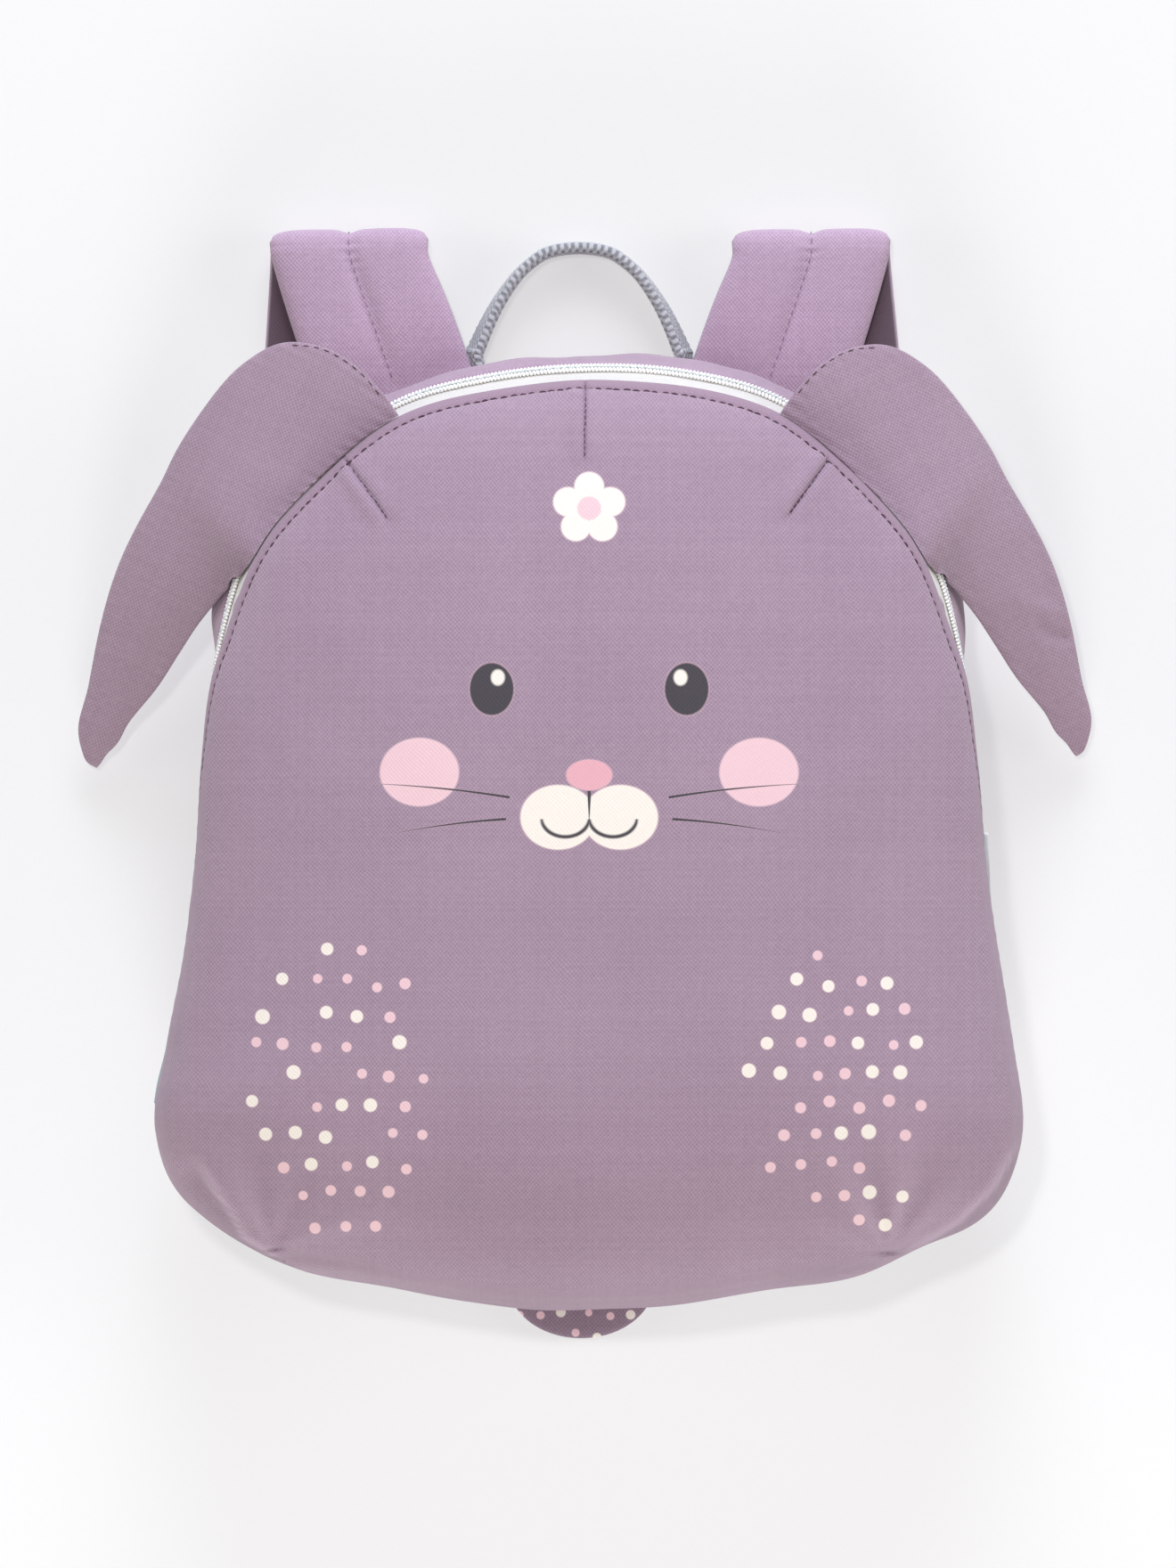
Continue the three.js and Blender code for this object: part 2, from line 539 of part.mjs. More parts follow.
// One ear: sections run from its inner edge to its outer edge, with a crowned upper face
function makeEar({ name, side, reach, drop }) {
  const start = side > 0 ? 0 : 2;
  const rootPoint = (share) => {
    const t = start + side * lerp(EAR_ROOT_TOP, EAR_ROOT_END, share);
    const edge = outlineAt(t);
    const [x, y] = edge.normal;
    return bagPoint(t, 2).add(point(-x, -y, EAR_ROOT * 0.5));
  };
  const anchor = rootPoint(0);
  const free = (out, up, high) => point(
    anchor.x + side * out * EAR_SPREAD * reach, anchor.y + up * EAR_LENGTH * drop, anchor.z * high);
  const columns = 6;
  const sections = EAR_SECTIONS.map((row) => {
    const sewn = row.root !== undefined;
    const inner = sewn ? rootPoint(row.root) : free(row.innerOut, row.innerUp, row.innerHigh);
    const outer = free(row.outerOut, row.outerUp, row.outerHigh);
    const width = inner.distanceTo(outer);
    const crowned = Math.min(1, width / (0.3 * EAR_LENGTH)) * (EAR_THICK - EAR_EDGE) / 2;
    const innerHalf = (sewn ? EAR_ROOT : EAR_EDGE) / 2;
    const face = (sign) => spread(0, 1, columns).map((share) => {
      const edgeHalf = lerp(innerHalf, EAR_EDGE / 2, share);
      const swell = crowned * plump(share) * (sign < 0 ? 0.7 : 1);
      return inner.clone().lerp(outer, share).add(point(0, 0, sign * (edgeHalf + swell)));
    });
    return [...face(1), ...face(-1).reverse()];
  });
  return piece(name, cut(sweep(sections, false), [makeEnvelope()]), COLOURS.lilac);
}

// The round stuffed tail, a flap sewn on above the bottom edge of the back panel, that rests below it
function makeTail() {
  const bottom = outlineAt(1);
  const rootY = bottom.y + bottom.backIn + TAIL_TUCK;
  const rootZ = BACK_Z + TAIL_ROOT_HIGH;
  const restZ = TAIL_THICK / 2 + SEAM_GAP;
  const sections = spread(-1, 1, 12).map((s) => {
    const round = Math.max(0, 1 - s * s);
    const depth = TAIL_TUCK + Math.max(TAIL_LENGTH * round ** 0.4, 1.2);
    const face = (sign) => spread(0, 1, 6).map((share) => {
      const swell = (TAIL_THICK - EAR_EDGE) / 2 * plump(share) * round ** 0.5;
      const down = THREE.MathUtils.smoothstep(depth * share, TAIL_TUCK, TAIL_LENGTH * 0.45);
      const z = lerp(rootZ, restZ, down) + sign * (EAR_EDGE / 2 + swell);
      return point(TAIL_OFFSET + s * TAIL_WIDTH / 2, rootY - depth * share, z);
    });
    return [...face(1), ...face(-1).reverse()];
  });
  return piece('tail', cut(sweep(sections, false), [makeEnvelope()]), COLOURS.lilac);
}

// A flat band along a path. Each station has a middle point, the direction of its width,
// its face's normal, and its width and thickness; the section has rounded edges.
function band(stations) {
  const rim = [[0, 0], [0.4, 0.38], [1, 0.5]];
  const sections = stations.map(({ at, across, up, width, thick }) => {
    const bend = Math.min(thick / 2, width / 4);
    const place = (side, [inset, high], face) => at.clone()
      .addScaledVector(across, side * (width / 2 - inset * bend))
      .addScaledVector(up, face * high * thick);
    const over = [...rim.map((row) => place(-1, row, 1)), ...[...rim].reverse().map((row) => place(1, row, 1))];
    const under = [...rim.slice(1).map((row) => place(1, row, -1)), ...rim.slice(1).reverse().map((row) => place(-1, row, -1))];
    return [...over, ...under];
  });
  return sweepLoop(sections);
}

// Sweeps sections whose ends are closed by a fan round their middle point
function sweepLoop(sections) {
  const count = sections[0].length;
  const positions = sections.flatMap((s) => s.flatMap((p) => [p.x, p.y, p.z]));
  const index = [];
  for (let i = 0; i < sections.length - 1; i += 1) {
    for (let j = 0; j < count; j += 1) {
      const k = (j + 1) % count;
      const [a, b] = [i * count, (i + 1) * count];
      index.push(a + j, a + k, b + k, a + j, b + k, b + j);
    }
  }
  for (const [i, flip] of [[0, true], [sections.length - 1, false]]) {
    const middle = positions.length / 3;
    const centre = sections[i].reduce((sum, p) => sum.add(p), point(0, 0, 0)).divideScalar(count);
    positions.push(centre.x, centre.y, centre.z);
    for (let j = 0; j < count; j += 1) {
      const k = (j + 1) % count;
      const [a, b] = [i * count + j, i * count + k];
      index.push(...(flip ? [middle, b, a] : [middle, a, b]));
    }
  }
  return closedGeometry(positions, index);
}

const acrossOf = (direction) => point(direction.y, -direction.x, 0).normalize();

// The middle line of a strap: sewn end, fold and lower end, and its direction back from the fold
function strapLine({ side, rootOut, foldOut, endOut }) {
  const root = point(side * rootOut * HALF_WIDTH, HALF_HEIGHT - STRAP_LAP - STRAP_ROOT_IN, 0);
  const fold = point(side * foldOut * HALF_WIDTH, HALF_HEIGHT + STRAP_REACH - STRAP_THICK, 0);
  const end = point(side * endOut * HALF_WIDTH, STRAP_END_UP * HALF_HEIGHT, 0);
  return { root, fold, end, inward: end.clone().sub(fold).normalize() };
}

// The padded shoulder strap: sewn end under the back panel, out past the top, folded over, and back
// under the bag to its lower end.
function makeStrap(strap) {
  const { root, fold, end, inward } = strapLine(strap);
  const outward = fold.clone().sub(root).normalize();
  const wide = acrossOf(outward).lerp(acrossOf(inward).negate(), FOLD_TURN).normalize();
  const stations = [];
  const add = (at, across, up, thick, width = STRAP_WIDTH) => stations.push({ at, across, up, width, thick });
  const up = point(0, 0, 1);
  const upper = [
    { share: 0, thicken: 0, turn: 0 }, { share: 0.3, thicken: 0, turn: 0 },
    { share: 0.42, thicken: 0.15, turn: 0 }, { share: 0.52, thicken: 0.55, turn: 0.1 },
    { share: 0.66, thicken: 0.9, turn: 0.3 }, { share: 0.8, thicken: 1, turn: 0.6 },
    { share: 0.95, thicken: 1, turn: 0.95 },
  ];
  for (const { share, thicken, turn } of upper) {
    const thick = lerp(STRAP_END_THICK, STRAP_THICK, thicken);
    const at = root.clone().lerp(fold, share).setZ(STRAP_THICK + LAYER_GAP + thick / 2);
    add(at, acrossOf(outward).lerp(wide, turn).normalize(), up, thick);
  }
  const turnZ = STRAP_THICK + LAYER_GAP / 2;
  const beyond = point(-wide.y, wide.x, 0);
  for (const degrees of [60, 20, -20, -60]) {
    const angle = THREE.MathUtils.degToRad(degrees);
    const face = beyond.clone().multiplyScalar(Math.cos(angle)).add(point(0, 0, Math.sin(angle)));
    add(fold.clone().setZ(turnZ).addScaledVector(face, (STRAP_THICK + LAYER_GAP) / 2), wide, face, STRAP_THICK);
  }
  for (const share of [0.03, 0.25, 0.5, 0.75, 0.9, 1]) {
    const width = share > 0.9 ? lerp(STRAP_WIDTH, WEBBING_WIDTH + 8, (share - 0.9) * 10) : STRAP_WIDTH;
    const at = fold.clone().lerp(end, share).setZ(STRAP_THICK / 2);
    add(at, acrossOf(inward).negate(), point(0, 0, -1), STRAP_THICK, width);
  }
  return piece(`shoulder_strap_${strap.hand}`, cut(band(stations), [makeEnvelope()]), COLOURS.lilac);
}

// Where the adjuster buckle lies, in line with the strap
function buckleFrame(strap) {
  const { end, inward } = strapLine(strap);
  return { along: inward, middle: end.clone().addScaledVector(inward, SEAM_GAP + BUCKLE_LENGTH / 2) };
}

// The plain ladder-lock adjuster: a frame with two bars across, and slots between them
function makeBuckle(strap) {
  const { along, middle } = buckleFrame(strap);
  const width = WEBBING_WIDTH + 2 * BUCKLE_BAR + 2;
  const slot = (BUCKLE_LENGTH - 4 * BUCKLE_BAR) / 3;
  const slots = [-1, 0, 1].map((i) => new THREE.BoxGeometry(slot, width - 2 * BUCKLE_BAR, BUCKLE_THICK * 2)
    .translate(i * (slot + BUCKLE_BAR), 0, 0));
  const geometry = cut(new THREE.BoxGeometry(BUCKLE_LENGTH, width, BUCKLE_THICK), slots);
  const across = point(-along.y, along.x, 0);
  const place = middle.clone().setZ(STRAP_THICK / 2);
  geometry.applyMatrix4(new THREE.Matrix4().makeBasis(along, across, point(0, 0, 1)).setPosition(place));
  return piece(`adjuster_${strap.hand}`, geometry, COLOURS.grey, 0.5);
}

// The webbing from the adjuster to where it is sewn under the lower corner of the back panel
function makeWebbing(strap) {
  const { along, middle } = buckleFrame(strap);
  const start = middle.clone().addScaledVector(along, BUCKLE_LENGTH / 2 + SEAM_GAP);
  const low = point(strap.side * strap.webbingOut * HALF_WIDTH, WEBBING_END_UP * HALF_HEIGHT, 0);
  const line = low.clone().sub(start).normalize();
  const endZ = BACK_Z - SEAM_GAP - WEBBING_THICK / 2;
  const heights = [[0, 0], [0.2, 0], [0.45, 0.24], [0.7, 0.8], [0.85, 1], [1, 1]];
  const stations = heights.map(([share, high]) => ({
    at: start.clone().lerp(low, share).setZ(lerp(STRAP_THICK / 2, endZ, high)),
    across: acrossOf(along.clone().lerp(line, Math.min(1, share * 3))),
    up: point(0, 0, 1), width: WEBBING_WIDTH, thick: WEBBING_THICK,
  }));
  return piece(`webbing_${strap.hand}`, band(stations), COLOURS.grey, 0.8);
}

// The grab handle: webbing that stands on its edge in an arch and turns flat where it is sewn under
// the back panel.
function makeHandle() {
  const topY = HALF_HEIGHT;
  const ridge = outlineAt(0);
  const archY = topY + ridge.zipLean + ridge.bulge;
  const flatZ = STRAP_THICK + LAYER_GAP - SEAM_GAP - HANDLE_THICK / 2;
  const edgeZ = HANDLE_WIDTH / 2 + SEAM_GAP;
  const stations = [];
  const leg = (sign) => [
    { x: sign, y: topY - HANDLE_LAP, z: flatZ, twist: 90 },
    { x: sign, y: topY - 5, z: flatZ, twist: 90 },
    { x: sign, y: topY - 1, z: lerp(flatZ, edgeZ, 0.3), twist: 78 },
    { x: sign, y: topY + 2.5, z: lerp(flatZ, edgeZ, 0.8), twist: 45 },
    { x: sign, y: archY, z: edgeZ, twist: 20 },
  ];
  const add = ({ x, y, z, twist }, facing) => {
    const turn = THREE.MathUtils.degToRad(twist);
    const up = facing.clone().multiplyScalar(Math.cos(turn)).add(point(0, 0, Math.sin(turn)));
    const along = point(-facing.y, facing.x, 0);
    const across = new THREE.Vector3().crossVectors(along, up);
    const at = point(HANDLE_OFFSET + x * HANDLE_SPAN / 2, y, z);
    stations.push({ at, across, up, width: HANDLE_WIDTH, thick: HANDLE_THICK });
  };
  for (const row of leg(-1)) add(row, point(-1, 0, 0));
  for (const turn of spread(180 - HANDLE_ENDS, HANDLE_ENDS, 12)) {
    const x = Math.cos(THREE.MathUtils.degToRad(turn));
    const y = archY + HANDLE_HEIGHT * (1 - Math.abs(x) ** HANDLE_SQUARE);
    const slope = HANDLE_SQUARE * Math.abs(x) ** (HANDLE_SQUARE - 1) * HANDLE_HEIGHT / (HANDLE_SPAN / 2);
    const facing = point(Math.sign(x) * slope, 1, 0).normalize();
    add({ x, y, z: edgeZ, twist: 20 * Math.abs(x) ** 3 }, facing);
  }
  for (const row of leg(1).reverse()) add(row, point(1, 0, 0));
  return piece('grab_handle', band(stations), COLOURS.grey, 0.8);
}

// The blank woven label on the left side wall
function makeLabel() {
  const middle = 2 - LABEL_PLACE;
  const half = LABEL_LENGTH / 2 / HALF_PERIMETER;
  const speed = bagPoint(middle, 0.6).distanceTo(bagPoint(middle, 0.7)) / 0.1;
  const top = 0.98;
  const rows = () => spread(top - LABEL_DEPTH / speed, top, 3);
  const thick = LABEL_THICK;
  const geometry = panel({ from: middle - half, to: middle + half, rows, thick, lift: SEAM_GAP + thick });
  return piece('side_label', geometry, COLOURS.teal, 0.7);
}

const bag = new THREE.Group();
bag.add(
  makeFrontPanel(), makeZipTape(), makeZipCoil(), makeZipSlider(), makeZipPull(),
  makeTopGusset(), makeBaseGusset(), makeBackPanel(), makeLabel(), makeTail(), makeHandle());
for (const ear of EARS) bag.add(makeEar(ear));
for (const strap of STRAPS) bag.add(makeStrap(strap), makeBuckle(strap), makeWebbing(strap));

// The origin goes under the middle of the bag's footprint
bag.updateMatrixWorld(true);
const footprint = new THREE.Box3().setFromObject(bag);
const centre = footprint.getCenter(new THREE.Vector3());
bag.position.set(-centre.x, -centre.y, -footprint.min.z);
bag.updateMatrixWorld(true);

export default bag;
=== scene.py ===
"""The looks of a small lilac backpack shaped as a lop-eared rabbit, zipped shut and lying on its back."""

import math

import bmesh
import bpy
import numpy as np
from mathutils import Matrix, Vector
from mathutils.bvhtree import BVHTree


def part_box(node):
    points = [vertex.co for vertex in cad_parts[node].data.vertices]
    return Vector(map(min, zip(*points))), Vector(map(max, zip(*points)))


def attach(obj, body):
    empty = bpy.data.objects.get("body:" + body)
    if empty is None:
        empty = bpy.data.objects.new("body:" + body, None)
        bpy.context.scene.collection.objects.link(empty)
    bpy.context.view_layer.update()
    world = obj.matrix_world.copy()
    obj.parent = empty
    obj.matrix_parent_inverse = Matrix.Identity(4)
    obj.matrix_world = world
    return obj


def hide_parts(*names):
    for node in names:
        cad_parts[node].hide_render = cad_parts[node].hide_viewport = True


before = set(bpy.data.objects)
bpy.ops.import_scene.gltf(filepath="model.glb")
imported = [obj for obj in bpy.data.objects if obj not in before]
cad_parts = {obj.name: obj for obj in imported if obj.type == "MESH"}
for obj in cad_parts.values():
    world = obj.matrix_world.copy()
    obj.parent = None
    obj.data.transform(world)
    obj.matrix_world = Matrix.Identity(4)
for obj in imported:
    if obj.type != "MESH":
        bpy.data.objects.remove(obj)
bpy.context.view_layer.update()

# Sizes of the bag, in millimetres
FRONT_WIDTH = 243
FRONT_HEIGHT = 261
DEPTH = 96
WALL = 2
SEAM_GAP = 0.3
BACK_PAD = 4
CROWN_DROP = 30
DOME_START = 0.6
ZIP_WIDTH = 11
ZIP_END = 0.475
HEM = 7.0  # topstitching's distance from the front's folded edge
EAR_LENGTH = 118
EAR_SPREAD = 92
EAR_THICK = 13
EAR_EDGE = 1.8
EAR_ROOT = 2.6
EAR_ROOT_SPAN = (0.13, 0.27)
TAIL_WIDTH = 44
TAIL_LENGTH = 22.3
TAIL_OFFSET = -2.2
TAIL_THICK = 8
STRAP_WIDTH = 45
STRAP_THICK = 6.5
STRAP_END_THICK = 2.4
STRAP_REACH = 44
LAYER_GAP = 0.5
WEBBING_WIDTH = 20
WEBBING_THICK = 1.5
BUCKLE_LENGTH = 24
STRAP_ROOT_DOWN = 29  # the straps' sewn ends, below the top of the front
STRAP_END_UP = -0.2146  # the padding's lower end, as a share of half the height
WEBBING_END_UP = -0.858  # the webbing's sewn end, as a share of half the height
PANEL_GAP = 0.0004  # between neighbouring panels' ends, as a share of half the outline
HANDLE_SPAN = 60
HANDLE_HEIGHT = 30.6
HANDLE_OFFSET = -2.9
HANDLE_SQUARE = 2.5
HANDLE_WIDTH = 10
HANDLE_THICK = 3.1

HALF_WIDTH = FRONT_WIDTH / 2
HALF_HEIGHT = FRONT_HEIGHT / 2
BACK_Z = STRAP_THICK + LAYER_GAP + STRAP_END_THICK + SEAM_GAP
CROWN_Z = BACK_Z + DEPTH

# The camera's place, the height of the plane in which places in the picture are measured, and the width
# of that plane that the picture shows
CAMERA = (0.67, 0.7, 3060)
PICTURE_HIGH = 60
PICTURE_WIDTH = 440

# The bag's own middle in the frame, from its back panel
back_low, back_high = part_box("back_panel")
SHIFT = np.array([
    (back_low.x + back_high.x) * 500, back_high.y * 1000 - (HALF_HEIGHT - WALL - SEAM_GAP),
    back_low.z * 1000 - BACK_Z])

# Half of the bag's outline from the middle of the top to the middle of the bottom. The columns are shares
# of half the width and of half the height, then shares of the depth: the hem's inset, the hem's height,
# the zip's lean, the side wall's bulge and the back seam's inset, and last how square the dome is.
OUTLINE = (
    # across, up, hem in, hem high, zip lean, bulge, back in, full
    (0, 1.0, 0, 0.5, 0.046, 0.05, 0, 2.1),
    (0.232, 0.979, 0, 0.5, 0.048, 0.07, 0, 2.1),
    (0.437, 0.925, 0, 0.51, 0.046, 0.07, 0.005, 2.1),
    (0.623, 0.789, 0, 0.52, 0.04, 0.065, 0.01, 2.2),
    (0.757, 0.646, 0, 0.53, 0.034, 0.065, 0.02, 2.3),
    (0.841, 0.449, 0, 0.53, 0.014, 0.07, 0.045, 2.5),
    (0.868, 0.37, 0.006, 0.53, 0.004, 0.036, 0.08, 2.6),
    (0.896, 0.182, 0.02, 0.53, 0, 0.02, 0.105, 2.8),
    (0.923, -0.102, 0.036, 0.52, 0, 0.03, 0.135, 3.2),
    (0.978, -0.436, 0.042, 0.5, 0, 0.1, 0.175, 3.8),
    (1.0, -0.616, 0.052, 0.47, 0, 0.115, 0.185, 4.2),
    (0.953, -0.754, 0.062, 0.42, 0, 0.1, 0.155, 4.4),
    (0.764, -0.878, 0.073, 0.385, 0, 0.05, 0.125, 4.6),
    (0.411, -0.966, 0.083, 0.36, 0, 0.04, 0.115, 4.8),
    (0, -1.0, 0.083, 0.35, 0, 0.04, 0.115, 5.0),
)

# Where the filled bag is flatter than its pattern, as places in the picture plane, in millimetres
DENTS = (
    # x, y, width, depth
    (-111, -119, 13, 1.7),
    (93, -131, 14, 1.3),
    (-52, -143, 30, 1.1),
    (45, -143, 30, 1.0),
    (-117, -38, 38, 1.3),
    (36, 112, 30, -1.1),
)

# Darts sewn into the top of the front, as places in the picture plane, in millimetres
TOP_DARTS = (
    # top x, top y, end x, end y
    (-0.1, 114.6, -0.3, 91.2),
    (-68.4, 93.2, -55.3, 74.7),
    (68.2, 91.9, 56.4, 75.4),
)

# Ear sections from the root's upper end to the tip: inner edge's out, up and high, or its share of the
# root line where it is sewn in, and the outer edge's out, up and high
EAR_ROWS = (
    ((0.0,), (0.046, 0.05, 1.01)),
    ((0.16,), (0.118, 0.11, 0.99)),
    ((0.32,), (0.236, 0.16, 0.93)),
    ((0.48,), (0.354, 0.17, 0.86)),
    ((0.64,), (0.484, 0.119, 0.77)),
    ((0.82,), (0.604, 0.015, 0.68)),
    ((1.0,), (0.677, -0.069, 0.62)),
    ((0.531, -0.42, 0.82), (0.741, -0.166, 0.56)),
    ((0.616, -0.496, 0.68), (0.817, -0.271, 0.48)),
    ((0.673, -0.559, 0.57), (0.873, -0.361, 0.4)),
    ((0.747, -0.644, 0.44), (0.927, -0.5, 0.32)),
    ((0.843, -0.731, 0.29), (0.969, -0.656, 0.23)),
    ((0.885, -0.784, 0.21), (1.0, -0.765, 0.17)),
    ((0.921, -0.81, 0.15), (0.985, -0.815, 0.135)),
    ((0.935, -0.828, 0.12), (0.976, -0.832, 0.12)),
    ((0.948, -0.838, 0.11), (0.964, -0.839, 0.11)),
)
EARS = (
    # node, side, reach, drop, and how far the filled ear leans out at its top and tip and up, in millimetres
    ("ear_left", -1, 1.0, 1.0, 0.8, 1.1, 1.9),
    ("ear_right", 1, 0.98, 0.97, -1.4, 0.3, 1.2),
)
STRAPS = (
    # hand, side, root out, fold out, end out, webbing out, as shares of half the width
    ("left", -1, 0.3704, 0.563, 0.6584, 0.6914),
    ("right", 1, 0.3374, 0.5226, 0.6749, 0.6914),
)

# Soft lights round the table. Their places and sizes are in metres, their powers in watts
LIGHTS = (
    # name, place, size, power, colour
    ("beyond the top", (0.0, 2.3, 1.0), 1.2, 40, (0.7, 0.78, 1.0)),
    ("close to the top", (0.1, 1.1, 0.7), 0.7, 5, (1.0, 0.95, 0.9)),
    ("right", (2.2, 0.1, 1.0), 1.2, 17, (1.0, 0.98, 0.98)),
    ("left", (-2.2, 0.1, 1.0), 1.2, 11, (1.0, 0.94, 0.86)),
    ("below the bottom", (0.0, -2.3, 1.2), 1.2, 35, (1.0, 0.98, 0.97)),
    ("overhead", (-0.25, 0.36, 2.6), 0.16, 16.3, (1.0, 0.99, 0.97)),
)


# Camera, light and floor

def make_camera():
    lens = bpy.data.cameras.new("camera")
    lens.sensor_width = 36
    lens.lens = lens.sensor_width * (CAMERA[2] - PICTURE_HIGH) / PICTURE_WIDTH
    lens.clip_start, lens.clip_end = 0.1, 20
    camera = bpy.data.objects.new("camera", lens)
    camera.location = [c * 0.001 for c in CAMERA]
    bpy.context.scene.collection.objects.link(camera)
    bpy.context.scene.camera = camera


def make_light(name, place, aim, size, power, colour):
    light = bpy.data.lights.new(name, "AREA")
    light.shape, light.size, light.energy, light.color = "DISK", size, power, colour
    lamp = bpy.data.objects.new(name, light)
    lamp.location = place
    lamp.rotation_euler = (Vector(place) - Vector(aim)).to_track_quat("Z", "Y").to_euler()
    bpy.context.scene.collection.objects.link(lamp)


def make_studio():
    world = bpy.data.worlds.new("studio")
    world.use_nodes = True
    background = world.node_tree.nodes["Background"]
    background.inputs["Color"].default_value = (1.0, 1.0, 1.0, 1)
    background.inputs["Strength"].default_value = 0.12
    bpy.context.scene.world = world
    for name, place, size, power, colour in LIGHTS:
        make_light(name, place, (0, 0, 0.05), size, power, colour)
    bpy.context.scene.view_settings.view_transform = "Standard"


make_camera()
make_studio()


# Finishes: shader maths as Python expressions

class Wire:
    """A number that varies over the surface. Arithmetic on it adds Math nodes."""

    def __init__(self, finish, socket):
        self.finish, self.socket = finish, socket

    def __add__(self, other):
        return self.finish.maths("ADD", self, other)

    def __sub__(self, other):
        return self.finish.maths("SUBTRACT", self, other)

    def __rsub__(self, other):
        return self.finish.maths("SUBTRACT", other, self)

    def __mul__(self, other):
        return self.finish.maths("MULTIPLY", self, other)

    def __truediv__(self, other):
        return self.finish.maths("DIVIDE", self, other)

    def __rtruediv__(self, other):
        return self.finish.maths("DIVIDE", other, self)

    def __pow__(self, other):
        return self.finish.maths("POWER", self, other)

    def __gt__(self, other):
        return self.finish.maths("GREATER_THAN", self, other)

    def __lt__(self, other):
        return self.finish.maths("LESS_THAN", self, other)

    def __abs__(self):
        return self.finish.maths("ABSOLUTE", self)

    __radd__ = __add__
    __rmul__ = __mul__

    def floor(self):
        return self.finish.maths("FLOOR", self)

    def sin(self):
        return self.finish.maths("SINE", self)

    def root(self):
        return self.finish.maths("SQRT", self)

    def most(self, other):
        return self.finish.maths("MAXIMUM", self, other)

    def between(self, low, high):
        """0 below low, 1 above high, and smooth between them."""
        return self.finish.node(
            "ShaderNodeMapRange", {"interpolation_type": "SMOOTHSTEP"}, {0: self, 1: low, 2: high})

    def other(self, name):
        """Another output of the same node."""
        return Wire(self.finish, self.socket.node.outputs[name])


class Finish:
    """One material, with one method that adds any node."""

    def __init__(self, name):
        self.material = bpy.data.materials.new(name)
        self.material.use_nodes = True
        self.tree = self.material.node_tree
        self.tree.nodes.clear()

    def node(self, kind, settings=None, sockets=None, output=0):
        made = self.tree.nodes.new(kind)
        for name, value in (settings or {}).items():
            setattr(made, name, value)
        for key, value in (sockets or {}).items():
            if isinstance(value, Wire):
                self.tree.links.new(value.socket, made.inputs[key])
            else:
                made.inputs[key].default_value = value
        return Wire(self, made.outputs[output]) if len(made.outputs) else None

    def maths(self, operation, *values):
        return self.node("ShaderNodeMath", {"operation": operation}, dict(enumerate(values)))

    def place(self):
        """The surface's x, y and z in millimetres."""
        spot = self.node("ShaderNodeTexCoord", output="Object")
        x = self.node("ShaderNodeSeparateXYZ", sockets={0: spot})
        return x * 1000, x.other("Y") * 1000, x.other("Z") * 1000

    def point(self, x, y, z):
        return self.node("ShaderNodeCombineXYZ", sockets={0: x, 1: y, 2: z})

    def cloud(self, scale, detail=2.0, roughness=0.5, vector=None):
        """Soft noise from 0 to 1. scale is in features per millimetre, or per unit of the vector."""
        if vector is None:
            vector, scale = self.node("ShaderNodeTexCoord", output="Object"), scale * 1000
        return self.node("ShaderNodeTexNoise", {"noise_dimensions": "3D"}, {
            "Vector": vector, "Scale": scale, "Detail": detail, "Roughness": roughness})

    def chance(self, *values):
        """A random number from 0 to 1 for each whole value or pair of values."""
        if len(values) == 1:
            return self.node("ShaderNodeTexWhiteNoise", {"noise_dimensions": "1D"}, {"W": values[0]})
        return self.node("ShaderNodeTexWhiteNoise", {"noise_dimensions": "2D"}, {
            "Vector": self.point(values[0], values[1], 0.0)})

    def blend(self, factor, first, second):
        """A colour between two colours."""
        return self.node(
            "ShaderNodeMix", {"data_type": "RGBA", "clamp_factor": True},
            {0: factor, 6: first, 7: second}, output=2)

    def bump(self, height, distance, strength=1.0):
        """A bumped normal. distance is in millimetres for a height of 1."""
        return self.node("ShaderNodeBump", {}, {
            "Height": height, "Distance": distance * 0.001, "Strength": strength})

    def surface(self, **sockets):
        """The shader itself. Socket names are written with _ for a space."""
        shader = self.node("ShaderNodeBsdfPrincipled", sockets={
            name.replace("_", " "): value for name, value in sockets.items()})
        self.node("ShaderNodeOutputMaterial", sockets={0: shader})
        return self.material


def srgb(red, green, blue, shade=1.0):
    """A colour from its 0 to 255 values, made lighter or darker by shade."""
    return (*(min(1.0, shade * ((c / 255 + 0.055) / 1.055) ** 2.4) for c in (red, green, blue)), 1.0)


LILAC = (176, 152, 169)
LILAC_SHADE = (150, 127, 145)
CREAM = (252, 244, 232)
PINK = (244, 206, 212)
INK = (58, 57, 61)


def weave(finish, across=0.56, up=0.62, angle=0.0):
    """A plain weave of round yarns over the surface: 1 on the yarns that lie on top, -1 between them,
    and how much lighter or darker each yarn is."""
    x, y, z = finish.place()
    facing = finish.node("ShaderNodeSeparateXYZ", sockets={
        0: finish.node("ShaderNodeNewGeometry", output="Normal")})
    side, front, top = abs(facing), abs(facing.other("Y")), abs(facing.other("Z"))
    flat = top > 0.5
    edge_on = side > front
    level = x + (y - x) * edge_on
    u = level + (x - level) * flat
    v = z + (y - z) * flat
    if angle:
        c, s = math.cos(angle), math.sin(angle)
        u, v = u * c + v * s, v * c - u * s
    sway = finish.cloud(0.09, detail=1.0)
    u, v = u + sway * 1.6, v + sway * 1.3
    over = (u * (math.pi / across)).sin() * (v * (math.pi / up)).sin()
    rows, columns = finish.chance((v / up).floor()), finish.chance((u / across).floor())
    slub = finish.cloud(1.0, detail=1.0, vector=finish.point(u * 0.7, v * 1.0, z * 0.2))
    yarn = (rows - 0.5) * 0.16 + (columns - 0.5) * 0.12 + (slub - 0.5) * 0.7
    return over, yarn


